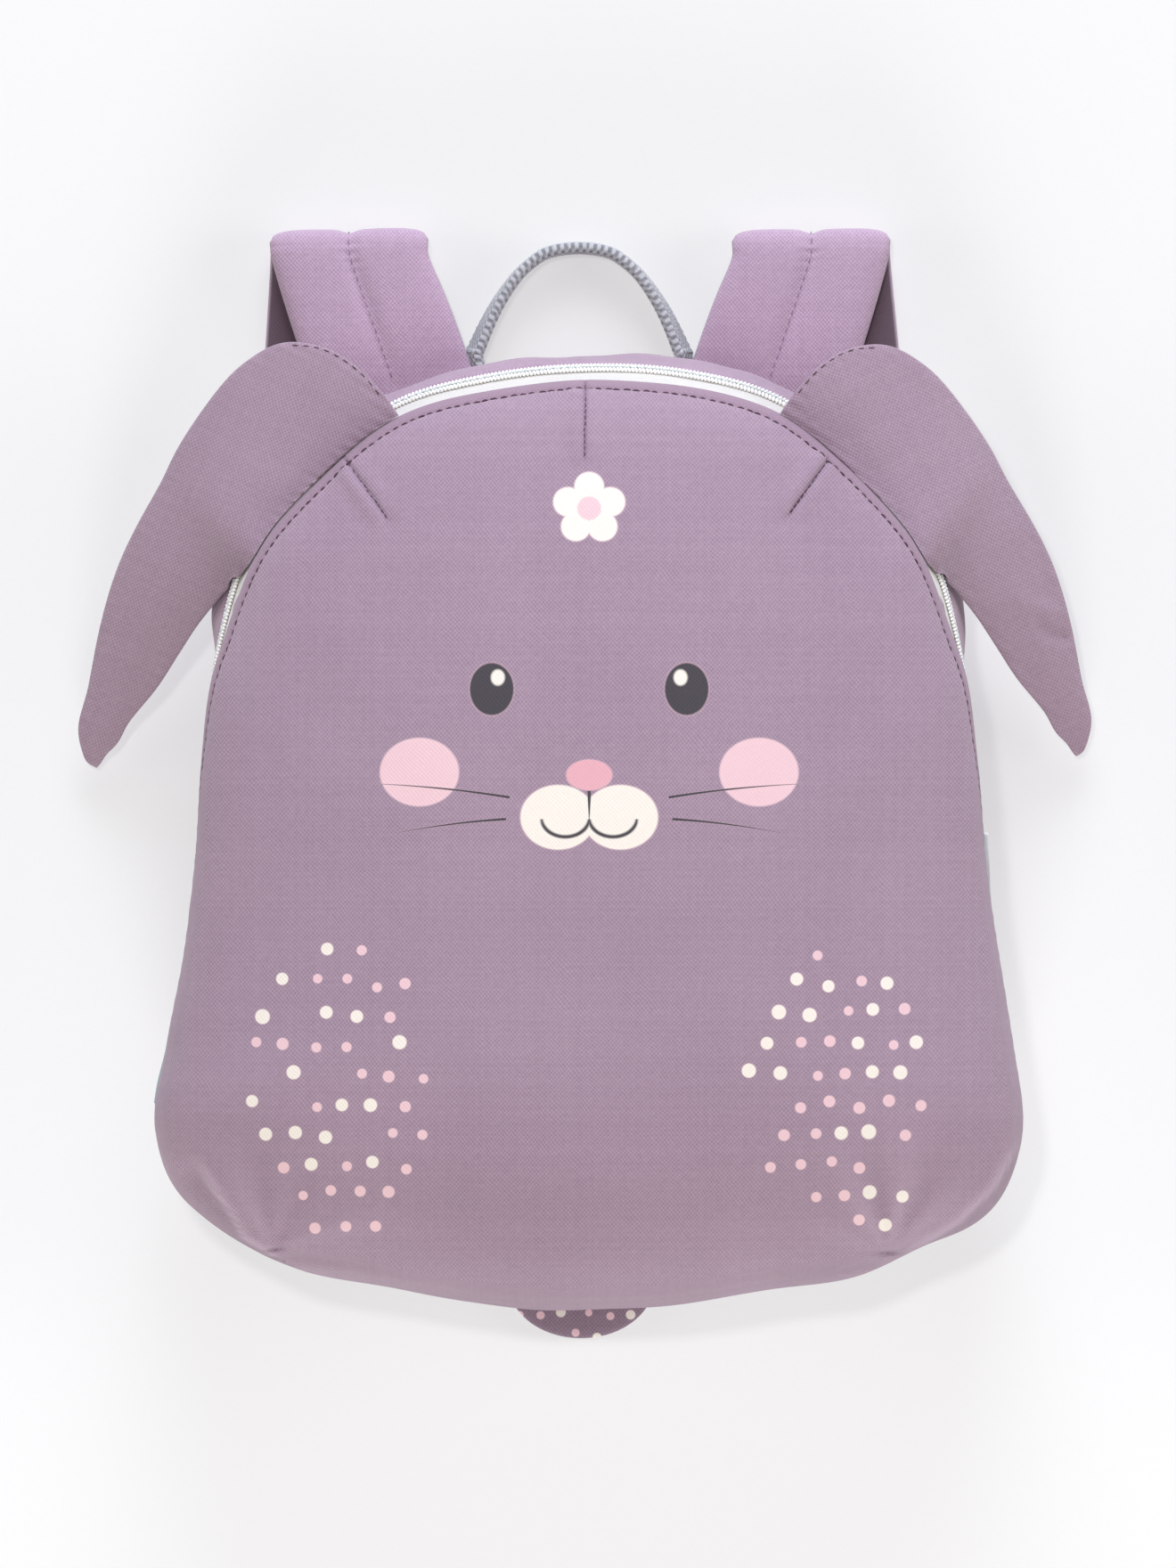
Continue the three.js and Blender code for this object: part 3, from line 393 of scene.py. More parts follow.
def spot(x, y, across, up, wide, tall):
    """1 inside an ellipse with a slightly soft edge."""
    soft = 0.4
    reach = (((x - across) / wide) ** 2 + ((y - up) / tall) ** 2).root()
    return 1 - reach.between(1 - soft / wide, 1 + soft / wide)


def stroke(x, y, start, angle, length, wide, bend=0.0):
    """1 on a thin bowed line that tapers to its far end."""
    c, s = math.cos(angle), math.sin(angle)
    along = (x - start[0]) * c + (y - start[1]) * s
    off = (y - start[1]) * c - (x - start[0]) * s + along * along * bend
    half = (1 - along / length).most(0.15) * (wide / 2)
    inside = 1 - abs(off).between(half - 0.12, half + 0.12)
    return inside * (along > 0) * (along < length)


def dots(finish, x, y, pitch, radius, keep):
    """Scattered round dots: 1 inside a dot, and a random number for each dot."""
    row = (y / pitch).floor()
    shifted = x / pitch + row * 0.5
    column = shifted.floor()
    luck = finish.chance(row + 0.5, column + 0.5)
    second = finish.chance(row + 7.5, column + 3.5)
    near_x = shifted - column - 0.5 + (luck - 0.5) * 0.34
    near_y = y / pitch - row - 0.5 + (second - 0.5) * 0.34
    size = (luck * 0.45 + 0.75) * (radius / pitch)
    reach = (near_x * near_x + near_y * near_y).root() / size
    mark = (1 - reach.between(0.88, 1.12)) * (second < keep)
    return mark, luck, (column - row * 0.5 + 0.5) * pitch, (row + 0.5) * pitch


def lilac_cloth(name, printed=None, angle=0.0, shade=1.0, hem_tint_and_painted_folds=False, cool=1.0, inner_face_shaded=False):
    """Woven lilac cloth. printed adds an ink layer to it, the hem flag tints its folded hem and paints shade
    into its creases and highlight onto their crests, cool makes it bluer and the inner-face flag paints
    shade on the face that turns inward, for the shade inside a strap's fold."""
    finish = Finish(name)
    over, yarn = weave(finish, angle=angle)
    fade = finish.cloud(0.02, detail=3.0)
    light, dark = srgb(*LILAC, 1.09 * shade), srgb(*LILAC_SHADE, 0.91 * shade)
    colour = finish.blend(over * 0.36 + yarn * 0.55 + (fade - 0.5) * 0.35 + 0.5, dark, light)
    if hem_tint_and_painted_folds:
        hem = finish.node("ShaderNodeAttribute", {"attribute_name": "hem"}, output="Fac")
        fold = finish.node("ShaderNodeAttribute", {"attribute_name": "fold"}, output="Fac")
        colour = finish.blend(hem * 0.5, colour, srgb(156, 128, 145, 0.94 * shade))
        # Painted shade where the fold numbers are above 0 (creases, slits, dart grooves), painted highlight
        # where they are below 0 (crests)
        colour = finish.blend(fold, colour, srgb(92, 72, 88))
        colour = finish.blend(fold * -1, colour, srgb(206, 182, 202))
    rough = 0.86 - over * 0.04
    if cool != 1.0:
        colour = finish.node("ShaderNodeMix", {"data_type": "RGBA", "blend_type": "MULTIPLY"}, {
            0: 1.0, 6: colour, 7: (1.0, 1.0, cool, 1.0)}, output=2)
    # Painted shade: the face that turns inward is darkened, standing in for the shade inside the strap's
    # fold
    if inner_face_shaded:
        painted_inner_shade = finish.node("ShaderNodeAttribute", {"attribute_name": "painted_inner_shade"}, output="Fac")
        colour = finish.blend(painted_inner_shade, colour, srgb(98, 80, 92))
        rough = rough + painted_inner_shade * 0.05
    if printed:
        ink, inked = printed(finish, over)
        colour = finish.blend(inked, colour, ink)
        rough = rough - inked * 0.22
    height = over * 0.5 + yarn * 0.3
    return finish.surface(
        Base_Color=colour, Roughness=rough, Normal=finish.bump(height, 0.16, 0.55),
        Sheen_Weight=0.18, Sheen_Roughness=0.5, Specular_IOR_Level=0.25)


def layer(finish, under, covered, mask, colour):
    """One more ink over the inks so far."""
    return finish.blend(mask, under, colour), covered.most(mask) if covered is not None else mask


def face_print(finish, over):
    """A plain rabbit's face, a flower on its forehead and scattered dots in the lower corners."""
    x, y, _ = finish.place()
    across = abs(x - 1.0)
    ink, inked = layer(finish, srgb(*PINK), None, spot(across, y, 47, 4, 11, 9.5), srgb(*PINK))
    ink, inked = layer(finish, ink, inked, spot(across, y, 8.6, -8.5, 10.5, 9.0), srgb(*CREAM))
    ink, inked = layer(finish, ink, inked, spot(across, y, 0, 3.2, 6.4, 4.3), srgb(238, 178, 188))
    mouth = stroke(across, y, (0, -1.2), -math.pi / 2, 9.5, 1.1)
    smile = spot(across, y, 6.6, -9.2, 6.9, 5.2) * (1 - spot(across, y, 6.6, -8.2, 6.3, 5.2)) * (y < -9.0)
    whiskers = stroke(across, y, (22, -3), 0.16, 40, 0.8, 0.0016)
    whiskers = whiskers.most(stroke(across, y, (23, -9), -0.06, 38, 0.8, 0.0022))
    eyes = spot(across, y, 27, 27, 6.2, 7.4)
    ink, inked = layer(finish, ink, inked, mouth.most(smile).most(whiskers).most(eyes), srgb(*INK))
    ink, inked = layer(finish, ink, inked, spot(across, y, 25.3, 30.2, 1.9, 2.2), srgb(*CREAM))
    petals = [spot(across, y, a, b, 4.2, 4.2) for a, b in ((0, 83.5), (5.9, 79.2), (3.7, 72.3))]
    ink, inked = layer(finish, ink, inked, petals[0].most(petals[1]).most(petals[2]), srgb(*CREAM))
    ink, inked = layer(finish, ink, inked, spot(across, y, 0, 77.4, 3.3, 3.3), srgb(*PINK))
    mark, luck, dot_x, dot_y = dots(finish, x, y, 8.4, 1.75, 0.86)
    bank = spot(abs(dot_x - 1.0), dot_y, 70, -84, 25, 46)
    speckle = finish.blend(luck > 0.5, srgb(*PINK), srgb(*CREAM))
    ink, inked = layer(finish, ink, inked, mark * (bank > 0.5), speckle)
    return ink, inked * (0.93 + over * 0.05)


def tail_print(finish, over):
    """Small dots on the tail."""
    x, y, _ = finish.place()
    mark, luck, _, _ = dots(finish, x, y + 2.0, 6.6, 1.3, 0.9)
    colour = finish.blend(luck > 0.5, srgb(*PINK), srgb(*CREAM))
    return colour, mark * (0.93 + over * 0.05)


def zip_cloth():
    """White woven tape."""
    finish = Finish("white zip tape")
    over, yarn = weave(finish, across=0.5, up=0.5)
    soil = finish.cloud(0.05, detail=3.0)
    tone = over * 0.2 + yarn * 0.4 + (soil - 0.5) * 0.4 + 0.55
    return finish.surface(
        Base_Color=finish.blend(tone, srgb(204, 201, 196), srgb(231, 228, 222)),
        Roughness=0.75 - over * 0.04, Normal=finish.bump(over * 0.5 + yarn * 0.3, 0.1, 0.5),
        Sheen_Weight=0.1, Specular_IOR_Level=0.3)


def moulded(name, colour, rough, glow=0.0):
    """Moulded plastic or painted metal with a fine grain and lightly rubbed spots. glow gives it a faint
    light of its own, which is painted light.
    """
    finish = Finish(name)
    speckle = finish.cloud(6.0, detail=2.0)
    rub = finish.cloud(0.25, detail=4.0).between(0.52, 0.72)
    base = finish.blend(speckle * 0.5 + rub * 0.4, srgb(*colour, 0.93), srgb(*colour, 1.07))
    return finish.surface(
        Base_Color=base, Roughness=rough + (speckle - 0.5) * 0.12 + rub * 0.06,
        Normal=finish.bump(speckle, 0.02, 0.4), Emission_Color=(1, 1, 1, 1), Emission_Strength=glow)


def thread(name, colour):
    """Twisted sewing thread."""
    finish = Finish(name)
    x, y, z = finish.place()
    twist = ((x + y * 0.7 + z) * 14.0).sin()
    fuzz = finish.cloud(2.0, detail=2.0)
    base = finish.blend(twist * 0.25 + fuzz * 0.5 + 0.25, srgb(*colour, 0.8), srgb(*colour, 1.2))
    return finish.surface(Base_Color=base, Roughness=0.7, Normal=finish.bump(twist, 0.05, 0.6))


def grey_webbing(name, pitch):
    """Woven grey webbing with light and dark picks."""
    finish = Finish(name)
    pick = finish.node("ShaderNodeAttribute", {"attribute_name": "pick"}, output="Fac")
    fuzz = finish.cloud(1.6, detail=3.0)
    fine = finish.cloud(6.0, detail=1.0)
    tone = pick * 0.75 + (fuzz - 0.5) * 0.7 + (fine - 0.5) * 0.3 + 0.15
    return finish.surface(
        Base_Color=finish.blend(tone, srgb(113, 116, 120), srgb(203, 204, 209)),
        Roughness=0.78 - pick * 0.06, Normal=finish.bump(fine + pick * 0.6, pitch * 0.08, 0.5),
        Sheen_Weight=0.12, Specular_IOR_Level=0.3)


def mesh_cloth():
    """Open knitted mesh over foam, with rows of small holes."""
    finish = Finish("lilac mesh")
    x, y, _ = finish.place()
    row = (y / 1.9).floor()
    u = x / 2.2 + row * 0.5
    near_x, near_y = u - u.floor() - 0.5, y / 1.9 - row - 0.5
    hole = 1 - (near_x * near_x * 1.4 + near_y * near_y * 1.1).root().between(0.22, 0.36)
    fuzz = finish.cloud(1.2, detail=3.0)
    base = finish.blend(hole * 0.75 + (fuzz - 0.5) * 0.4, srgb(161, 137, 158), srgb(84, 70, 84))
    return finish.surface(
        Base_Color=base, Roughness=0.9 + hole * 0.05, Normal=finish.bump(fuzz * 0.3 - hole, 0.35, 0.8),
        Sheen_Weight=0.15, Specular_IOR_Level=0.2)


def label_cloth():
    """Smooth woven teal ribbon with fine ribs."""
    finish = Finish("teal ribbon")
    rib = (finish.place()[1] * (math.pi / 0.3)).sin()
    fuzz = finish.cloud(0.8, detail=3.0)
    base = finish.blend(rib * 0.2 + fuzz * 0.7 + 0.1, srgb(75, 123, 134), srgb(108, 150, 156))
    return finish.surface(
        Base_Color=base, Roughness=0.55 + (fuzz - 0.5) * 0.1, Normal=finish.bump(rib, 0.06, 0.5),
        Sheen_Weight=0.2)


def floor_paper():
    """White paper on a table that is lit from below too, which keeps the shadows pale."""
    finish = Finish("lit paper")
    tooth = finish.cloud(0.8, detail=4.0)
    base = finish.blend(tooth, srgb(171, 171, 171), srgb(175, 175, 175))
    up = finish.place()[1]
    glow = finish.blend(up.between(-230, 70), (1, 1, 1, 1), (0.86, 0.86, 0.86, 1))
    return finish.surface(
        Base_Color=base, Roughness=0.95, Normal=finish.bump(tooth, 0.02, 0.2), Specular_IOR_Level=0.1,
        Emission_Color=glow, Emission_Strength=0.555)


def make_floor():
    mesh = bpy.data.meshes.new("floor")
    size, steps = 4.0, 8
    line = np.linspace(-size, size, steps + 1)
    x, y = np.meshgrid(line, line, indexing="ij")
    points = np.stack([x, y, np.full_like(x, -0.0002)], -1).reshape(-1, 3)
    mesh.from_pydata(points.tolist(), [], grid_faces(steps + 1, steps + 1, False, flip=True).tolist())
    floor = bpy.data.objects.new("floor", mesh)
    floor.data.materials.append(floor_paper())
    bpy.context.scene.collection.objects.link(floor)


# Meshes

def grid_faces(rows, columns, wrap, start=0, flip=False):
    """Four-sided faces over a grid of points whose rows follow each other. wrap joins the last row to the
    first."""
    i = np.arange(rows if wrap else rows - 1)[:, None]
    j = np.arange(columns - 1)[None, :]
    following = (i + 1) % rows
    quads = np.stack([
        i * columns + j, following * columns + j, following * columns + j + 1, i * columns + j + 1], -1)
    quads = quads.reshape(-1, 4) + start
    return quads if flip else quads[:, ::-1]


def tube_faces(rows, around):
    """Faces round a tube of closed loops of points, open at both ends."""
    i = np.arange(rows - 1)[:, None] * around
    j = np.arange(around)[None, :]
    k = (j + 1) % around
    return np.stack([i + j, i + k, i + around + k, i + around + j], -1).reshape(-1, 4).tolist()


def closed_tube_faces(rows, around):
    first, last = range(around), range(rows * around - 1, (rows - 1) * around - 1, -1)
    return [*tube_faces(rows, around), list(first), list(last)]


def bar_faces(count, rings, sides):
    """Faces of closed bars, each made of rings of points."""
    faces = []
    for start in range(0, count * rings * sides, rings * sides):
        for r in range(start, start + (rings - 1) * sides, sides):
            for k in range(sides):
                n = (k + 1) % sides
                faces.append([r + k, r + n, r + sides + n, r + sides + k])
        faces.append([start + k for k in range(sides)][::-1])
        faces.append([start + (rings - 1) * sides + k for k in range(sides)])
    return faces


def new_piece(name, points, faces, finish, values=None):
    """An object of millimetre points, which rides on the bag. values holds numbers for each point."""
    mesh = bpy.data.meshes.new(name)
    mesh.from_pydata((np.asarray(points) * 0.001).tolist(), [], [[int(i) for i in f] for f in faces])
    shape = bmesh.new()
    shape.from_mesh(mesh)
    bmesh.ops.recalc_face_normals(shape, faces=shape.faces)
    shape.to_mesh(mesh)
    shape.free()
    mesh.polygons.foreach_set("use_smooth", [True] * len(mesh.polygons))
    for key, numbers in (values or {}).items():
        mesh.attributes.new(key, "FLOAT", "POINT").data.foreach_set("value", np.asarray(numbers, np.float32))
    mesh.materials.append(finish)
    piece = bpy.data.objects.new(name, mesh)
    bpy.context.scene.collection.objects.link(piece)
    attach(piece, "root")
    return piece


def unit(vectors):
    return vectors / np.maximum(np.linalg.norm(vectors, axis=-1, keepdims=True), 1e-9)


def grid_normals(points, wrap):
    """Outward normals of a grid whose first axis runs round the bag and whose second rises."""
    if wrap:
        along = np.roll(points, -1, 0) - np.roll(points, 1, 0)
    else:
        along = np.gradient(points, axis=0)
    return unit(np.cross(np.gradient(points, axis=1), along))


def lerp(a, b, share):
    return a + (b - a) * share


def smooth(low, high, value):
    s = np.clip((value - low) / (high - low), 0, 1)
    return s * s * (3 - 2 * s)


def ridge(distance, width):
    return np.exp(-(distance / width) ** 2)


def ripple(points, size, seed):
    """Soft random waves over points, about -1 to 1. size is their length in millimetres."""
    dice = np.random.default_rng(seed)
    total = np.zeros(points.shape[:-1])
    count = 7
    for _ in range(count):
        direction = unit(dice.normal(size=3))
        pace = 2 * math.pi / (size * dice.uniform(0.7, 1.6))
        total += np.sin(points @ direction * pace + dice.uniform(0, 2 * math.pi))
    return total / math.sqrt(count) * 0.7


def line_distance(x, y, corners):
    """Distance from a bent line, the share of the way along it, and the side (-1 left, 1 right)."""
    best = np.full(x.shape, np.inf)
    share, hand = np.zeros(x.shape), np.ones(x.shape)
    corners = np.asarray(corners, float)
    lengths = np.hypot(*np.diff(corners, axis=0).T)
    before = np.concatenate([[0], np.cumsum(lengths)])
    for k, (a, b) in enumerate(zip(corners[:-1], corners[1:])):
        d = (b - a) / lengths[k]
        along = np.clip((x - a[0]) * d[0] + (y - a[1]) * d[1], 0, lengths[k])
        off_x, off_y = x - a[0] - along * d[0], y - a[1] - along * d[1]
        away = np.hypot(off_x, off_y)
        closer = away < best
        best = np.where(closer, away, best)
        share = np.where(closer, (before[k] + along) / before[-1], share)
        hand = np.where(closer, np.sign(off_x * d[1] - off_y * d[0]), hand)
    return best, share, hand


def curve(rows, knots, at):
    """A smooth curve through rows of numbers at their knots, read at other places. The first and the last
    row only give the slope at the ends."""
    last = (1,) * (rows.ndim - 1)
    back, ahead = np.diff(knots)[:-1].reshape(-1, *last), np.diff(knots)[1:].reshape(-1, *last)
    steps = np.diff(rows, axis=0)
    slopes = (steps[:-1] / back * ahead + steps[1:] / ahead * back) / (back + ahead)
    i = np.clip(np.searchsorted(knots[1:-1], at, side="right") - 1, 0, len(slopes) - 2)
    span = (knots[i + 2] - knots[i + 1]).reshape(-1, *last)
    s = (at - knots[i + 1]).reshape(-1, *last) / span
    return ((2 * s**3 - 3 * s**2 + 1) * rows[i + 1] + (s**3 - 2 * s**2 + s) * span * slopes[i]
            + (3 * s**2 - 2 * s**3) * rows[i + 2] + (s**3 - s**2) * span * slopes[i + 1])


# The bag's surface. t runs round the bag from 0 at the top over 1 at the bottom to 2, first down the
# right side. v is 0 at the back seam, 1 at the zip tape's outer edge, 2 at the front's hem, 3 at the crown.

def outline_table():
    """The outline at close steps: shares of its half's length, the table's columns in millimetres there,
    and the half's length."""
    size = np.array([HALF_WIDTH, HALF_HEIGHT, DEPTH, DEPTH, DEPTH, DEPTH, DEPTH, 1])
    rows = np.array(OUTLINE) * size
    knots = np.concatenate([[0], np.cumsum(np.hypot(*np.diff(rows[:, :2], axis=0).T))])
    total = knots[-1]
    knots /= total
    flip = np.array([-1, 1, 1, 1, 1, 1, 1, 1])
    rows = np.vstack([rows[1] * flip, rows, rows[-2] * flip])
    knots = np.concatenate([[-knots[1]], knots, [2 - knots[-2]]])
    u = np.linspace(0, 1, 4001)
    return u, curve(rows, knots, u), total


TURN, EDGE, HALF_PERIMETER = outline_table()


def edge_at(t):
    """The outline at t: x, y, normal and the table's other columns."""
    turn = np.mod(t, 2)
    side = np.where(turn <= 1, 1.0, -1.0)
    u = np.where(turn <= 1, turn, 2 - turn)
    row = [np.interp(u, TURN, EDGE[:, c]) for c in range(8)]
    low, high = np.maximum(u - 0.002, 0), np.minimum(u + 0.002, 1)
    run_x = np.interp(high, TURN, EDGE[:, 0]) - np.interp(low, TURN, EDGE[:, 0])
    run_y = np.interp(high, TURN, EDGE[:, 1]) - np.interp(low, TURN, EDGE[:, 1])
    run = np.hypot(run_x, run_y)
    return side * row[0], row[1], -side * run_y / run, run_x / run, row[2:]


def bag_point(t, v):
    """The bag's surface at t and v, in millimetres."""
    t, v = np.broadcast_arrays(np.asarray(t, float), np.asarray(v, float))
    x, y, nx, ny, (hem_in, hem_high, lean, bulge, back_in, full) = edge_at(t)
    hem_z = BACK_Z + hem_high
    tape_z = hem_z - np.sqrt(ZIP_WIDTH**2 - lean**2)
    tape_out = lean - hem_in
    wall, tape, step = np.clip(v, 0, 1), np.clip(v - 1, 0, 1), np.clip(v - 2, 0, 1)
    wall_out = lerp(-back_in, tape_out, wall) + 4 * bulge * wall * (1 - wall)
    wall_z = lerp(BACK_Z, tape_z, wall)
    tuck = np.maximum(0.22 * hem_in / (hem_in + 3), 1e-6)
    turn = np.minimum(1, step / tuck) * math.pi / 2
    shrink = 1 - np.clip((step - tuck) / (1 - tuck), 0, 1) ** (1 / DOME_START)
    rise = (1 - shrink**full) ** DOME_START
    front_z = lerp(hem_z + 1.5 * hem_in * (1 - np.cos(turn)), CROWN_Z, rise)
    front_out = -hem_in * (1 - np.sin(turn))
    out = np.where(v <= 1, wall_out, np.where(v <= 2, lerp(tape_out, -hem_in, tape), front_out))
    z = np.where(v <= 1, wall_z, np.where(v <= 2, lerp(tape_z, hem_z, tape), front_z))
    for dent_x, dent_y, width, depth in DENTS:
        out = out - depth * ridge(np.hypot(x + SHIFT[0] - dent_x, y + SHIFT[1] - dent_y), width)
    x, y = x + out * nx, y + out * ny
    x = np.where(v > 2, x * shrink, x)
    y = np.where(v > 2, lerp(-CROWN_DROP, y, shrink), y)
    return np.stack([x, y, z], -1) + SHIFT


def bag_normal(t, v):
    t, v = np.broadcast_arrays(np.asarray(t, float), np.asarray(v, float))
    along = bag_point(t + 0.008, v) - bag_point(t - 0.008, v)
    rising = bag_point(t, np.minimum(v + 0.02, 2.995)) - bag_point(t, np.maximum(v - 0.02, 0))
    return unit(np.cross(rising, along))


def in_picture(points):
    """Where the camera above sees points, as places in the picture plane."""
    share = (CAMERA[2] - PICTURE_HIGH) / (CAMERA[2] - points[..., 2])
    return points[..., 0] * share, points[..., 1] * share


def bag_hull():
    """The closed-up outer surface of the whole bag, raised over the zip, to keep other pieces off it."""
    t = np.linspace(0, 2, 300, endpoint=False)
    v = np.concatenate([np.linspace(0, 1, 9), [1.02, 1.1, 1.5, 1.6, 2.0], 2 + np.linspace(0.02, 0.98, 30)])
    raised = np.where((v > 1.05) & (v < 1.55), 1.6, 0)
    points = bag_point(t[:, None], v) + bag_normal(t[:, None], v) * raised[:, None]
    faces = grid_faces(*points.shape[:2], True)
    return BVHTree.FromPolygons(points.reshape(-1, 3).tolist(), faces.tolist())


def keep_off(points, hull, gap):
    """Points moved out of the bag, to a gap from its surface. Those below the back seam stay."""
    moved = points.copy()
    for i, p in enumerate(points):
        if p[2] < BACK_Z - 0.2:
            continue
        place, normal, _, _ = hull.find_nearest(Vector(p), 25)
        if place is None:
            continue
        away = (Vector(p) - place).dot(normal)
        if away < gap:
            moved[i] += np.array(normal) * (gap - away)
    return moved


def stitches(name, starts, ends, normals, thick, finish):
    """Sewing thread: each stitch is a short rounded bar that dips into the cloth at both ends."""
    rings = ((0.0, 0.35, -0.35), (0.12, 0.9, 0.1), (0.5, 1.0, 0.42), (0.88, 0.9, 0.1), (1.0, 0.35, -0.35))
    sides = 6
    along = unit(ends - starts)
    across = unit(np.cross(normals, along))
    points = []
    for share, size, lift in rings:
        middle = lerp(starts, ends, share) + normals * (lift * thick)
        for k in range(sides):
            turn, half = 2 * math.pi * k / sides, size * thick / 2
            points.append(middle + across * (math.cos(turn) * half) + normals * (math.sin(turn) * half))
    points = np.stack(points, 1).reshape(-1, 3)
    new_piece(name, points, bar_faces(len(starts), len(rings), sides), finish)


# Front panel

def corner_folds(x, y):
    """How far the folds at the lower corners' darts raise the cloth, and how much painted shade they get. A
    crest gets painted highlight, which is less than 0."""
    rise, dark = np.zeros(x.shape), np.zeros(x.shape)
    creases = (
        # the side that drops, how far, the ridge's height, where it fades in and out, and the line
        (1, 4.2, 1.7, (0.0, 0.25), (1.2, 1.0),
         ((-110.5, -101.5), (-105.1, -111), (-99.3, -119.6), (-95.6, -126.3), (-87.8, -130.8))),
        (-1, 3.6, 1.4, (0.0, 0.2), (1.0, 0.8),
         ((122.9, -97), (114.6, -112.4), (104.8, -121.4), (97.5, -126.4), (88, -131.5))),
    )
    for drop_side, drop, height, (dim, full), (gone, fading), line in creases:
        away, share, hand = line_distance(x, y, line)
        fade = smooth(dim, full, share) * smooth(gone, fading, share)
        outer = hand * drop_side > 0
        rise -= np.where(outer, drop * smooth(0, 1.8, away) * ridge(away, 11), 0) * fade
        rise += height * ridge(away, np.where(outer, 0.8, 4.5)) * fade
        # Painted shade on the lower side of the crease, painted highlight along its crest
        dark += np.where(outer, 0.2 * smooth(0.3, 1.3, away) * ridge(away, 12), 0) * fade
        dark -= 0.42 * ridge(away, np.where(outer, 0.5, 1.5)) * fade
    fans = (
        # dart end x, dart end y, angle, length, height and width of a fold that starts there
        (-87.2, -129.6, 116, 40, 1.5, 1.0), (-87.2, -129.6, 98, 30, -0.8, 0.9),
        (-87.2, -129.6, 84, 34, 0.9, 1.0), (-87.2, -129.6, 140, 30, -1.2, 1.3),
        (-87.2, -129.6, 64, 26, -0.6, 0.9), (-86, -131.0, -9, 62, -1.3, 0.7),
        (-84, -134.5, -10, 66, 1.1, 1.0), (-85, -128.2, 16, 40, 0.9, 1.0),
        (84.8, -131.2, 118, 44, 1.6, 1.1), (84.8, -131.2, 98, 32, -1.0, 0.8),
        (84.8, -131.2, 78, 44, 1.7, 1.1), (84.8, -131.2, 60, 36, -1.1, 1.0),
        (84.8, -131.2, 44, 42, 1.4, 1.2), (84.8, -131.2, 26, 34, -0.9, 1.0),
        (84.0, -133.4, 190, 56, -1.2, 0.7), (82.0, -136.0, 190, 56, 1.0, 1.0),
        (84.8, -131.2, 156, 30, 0.8, 1.0),
    )
    for from_x, from_y, angle, length, height, width in fans:
        turn = math.radians(angle)
        along = (x - from_x) * math.cos(turn) + (y - from_y) * math.sin(turn)
        off = (y - from_y) * math.cos(turn) - (x - from_x) * math.sin(turn)
        wide = width * (0.9 + 0.13 * np.clip(along, 0, length))
        fade = ridge(off, wide) * smooth(-1, 5, along) * smooth(length, length * 0.3, along)
        rise += height * fade
        # Painted shade in the fans' valleys, painted highlight on their ridges
        dark -= height * (0.1 if height < 0 else 0.12) * fade
    for from_x, from_y, long, lean in ((-87.4, -129.5, 5.2, 0.1), (84.8, -131.1, 6.4, 0.0)):
        off = y - from_y - (x - from_x) * lean
        rise -= 2.4 * ridge(x - from_x, long / 2) * ridge(off, 0.6)
        rise += 0.9 * ridge(x - from_x, long / 2) * ridge(off - 1.6, 1.0)
        # Painted shade in the slit
        dark += 0.7 * ridge(x - from_x, long / 2) * ridge(off, 0.55)
    return rise, dark


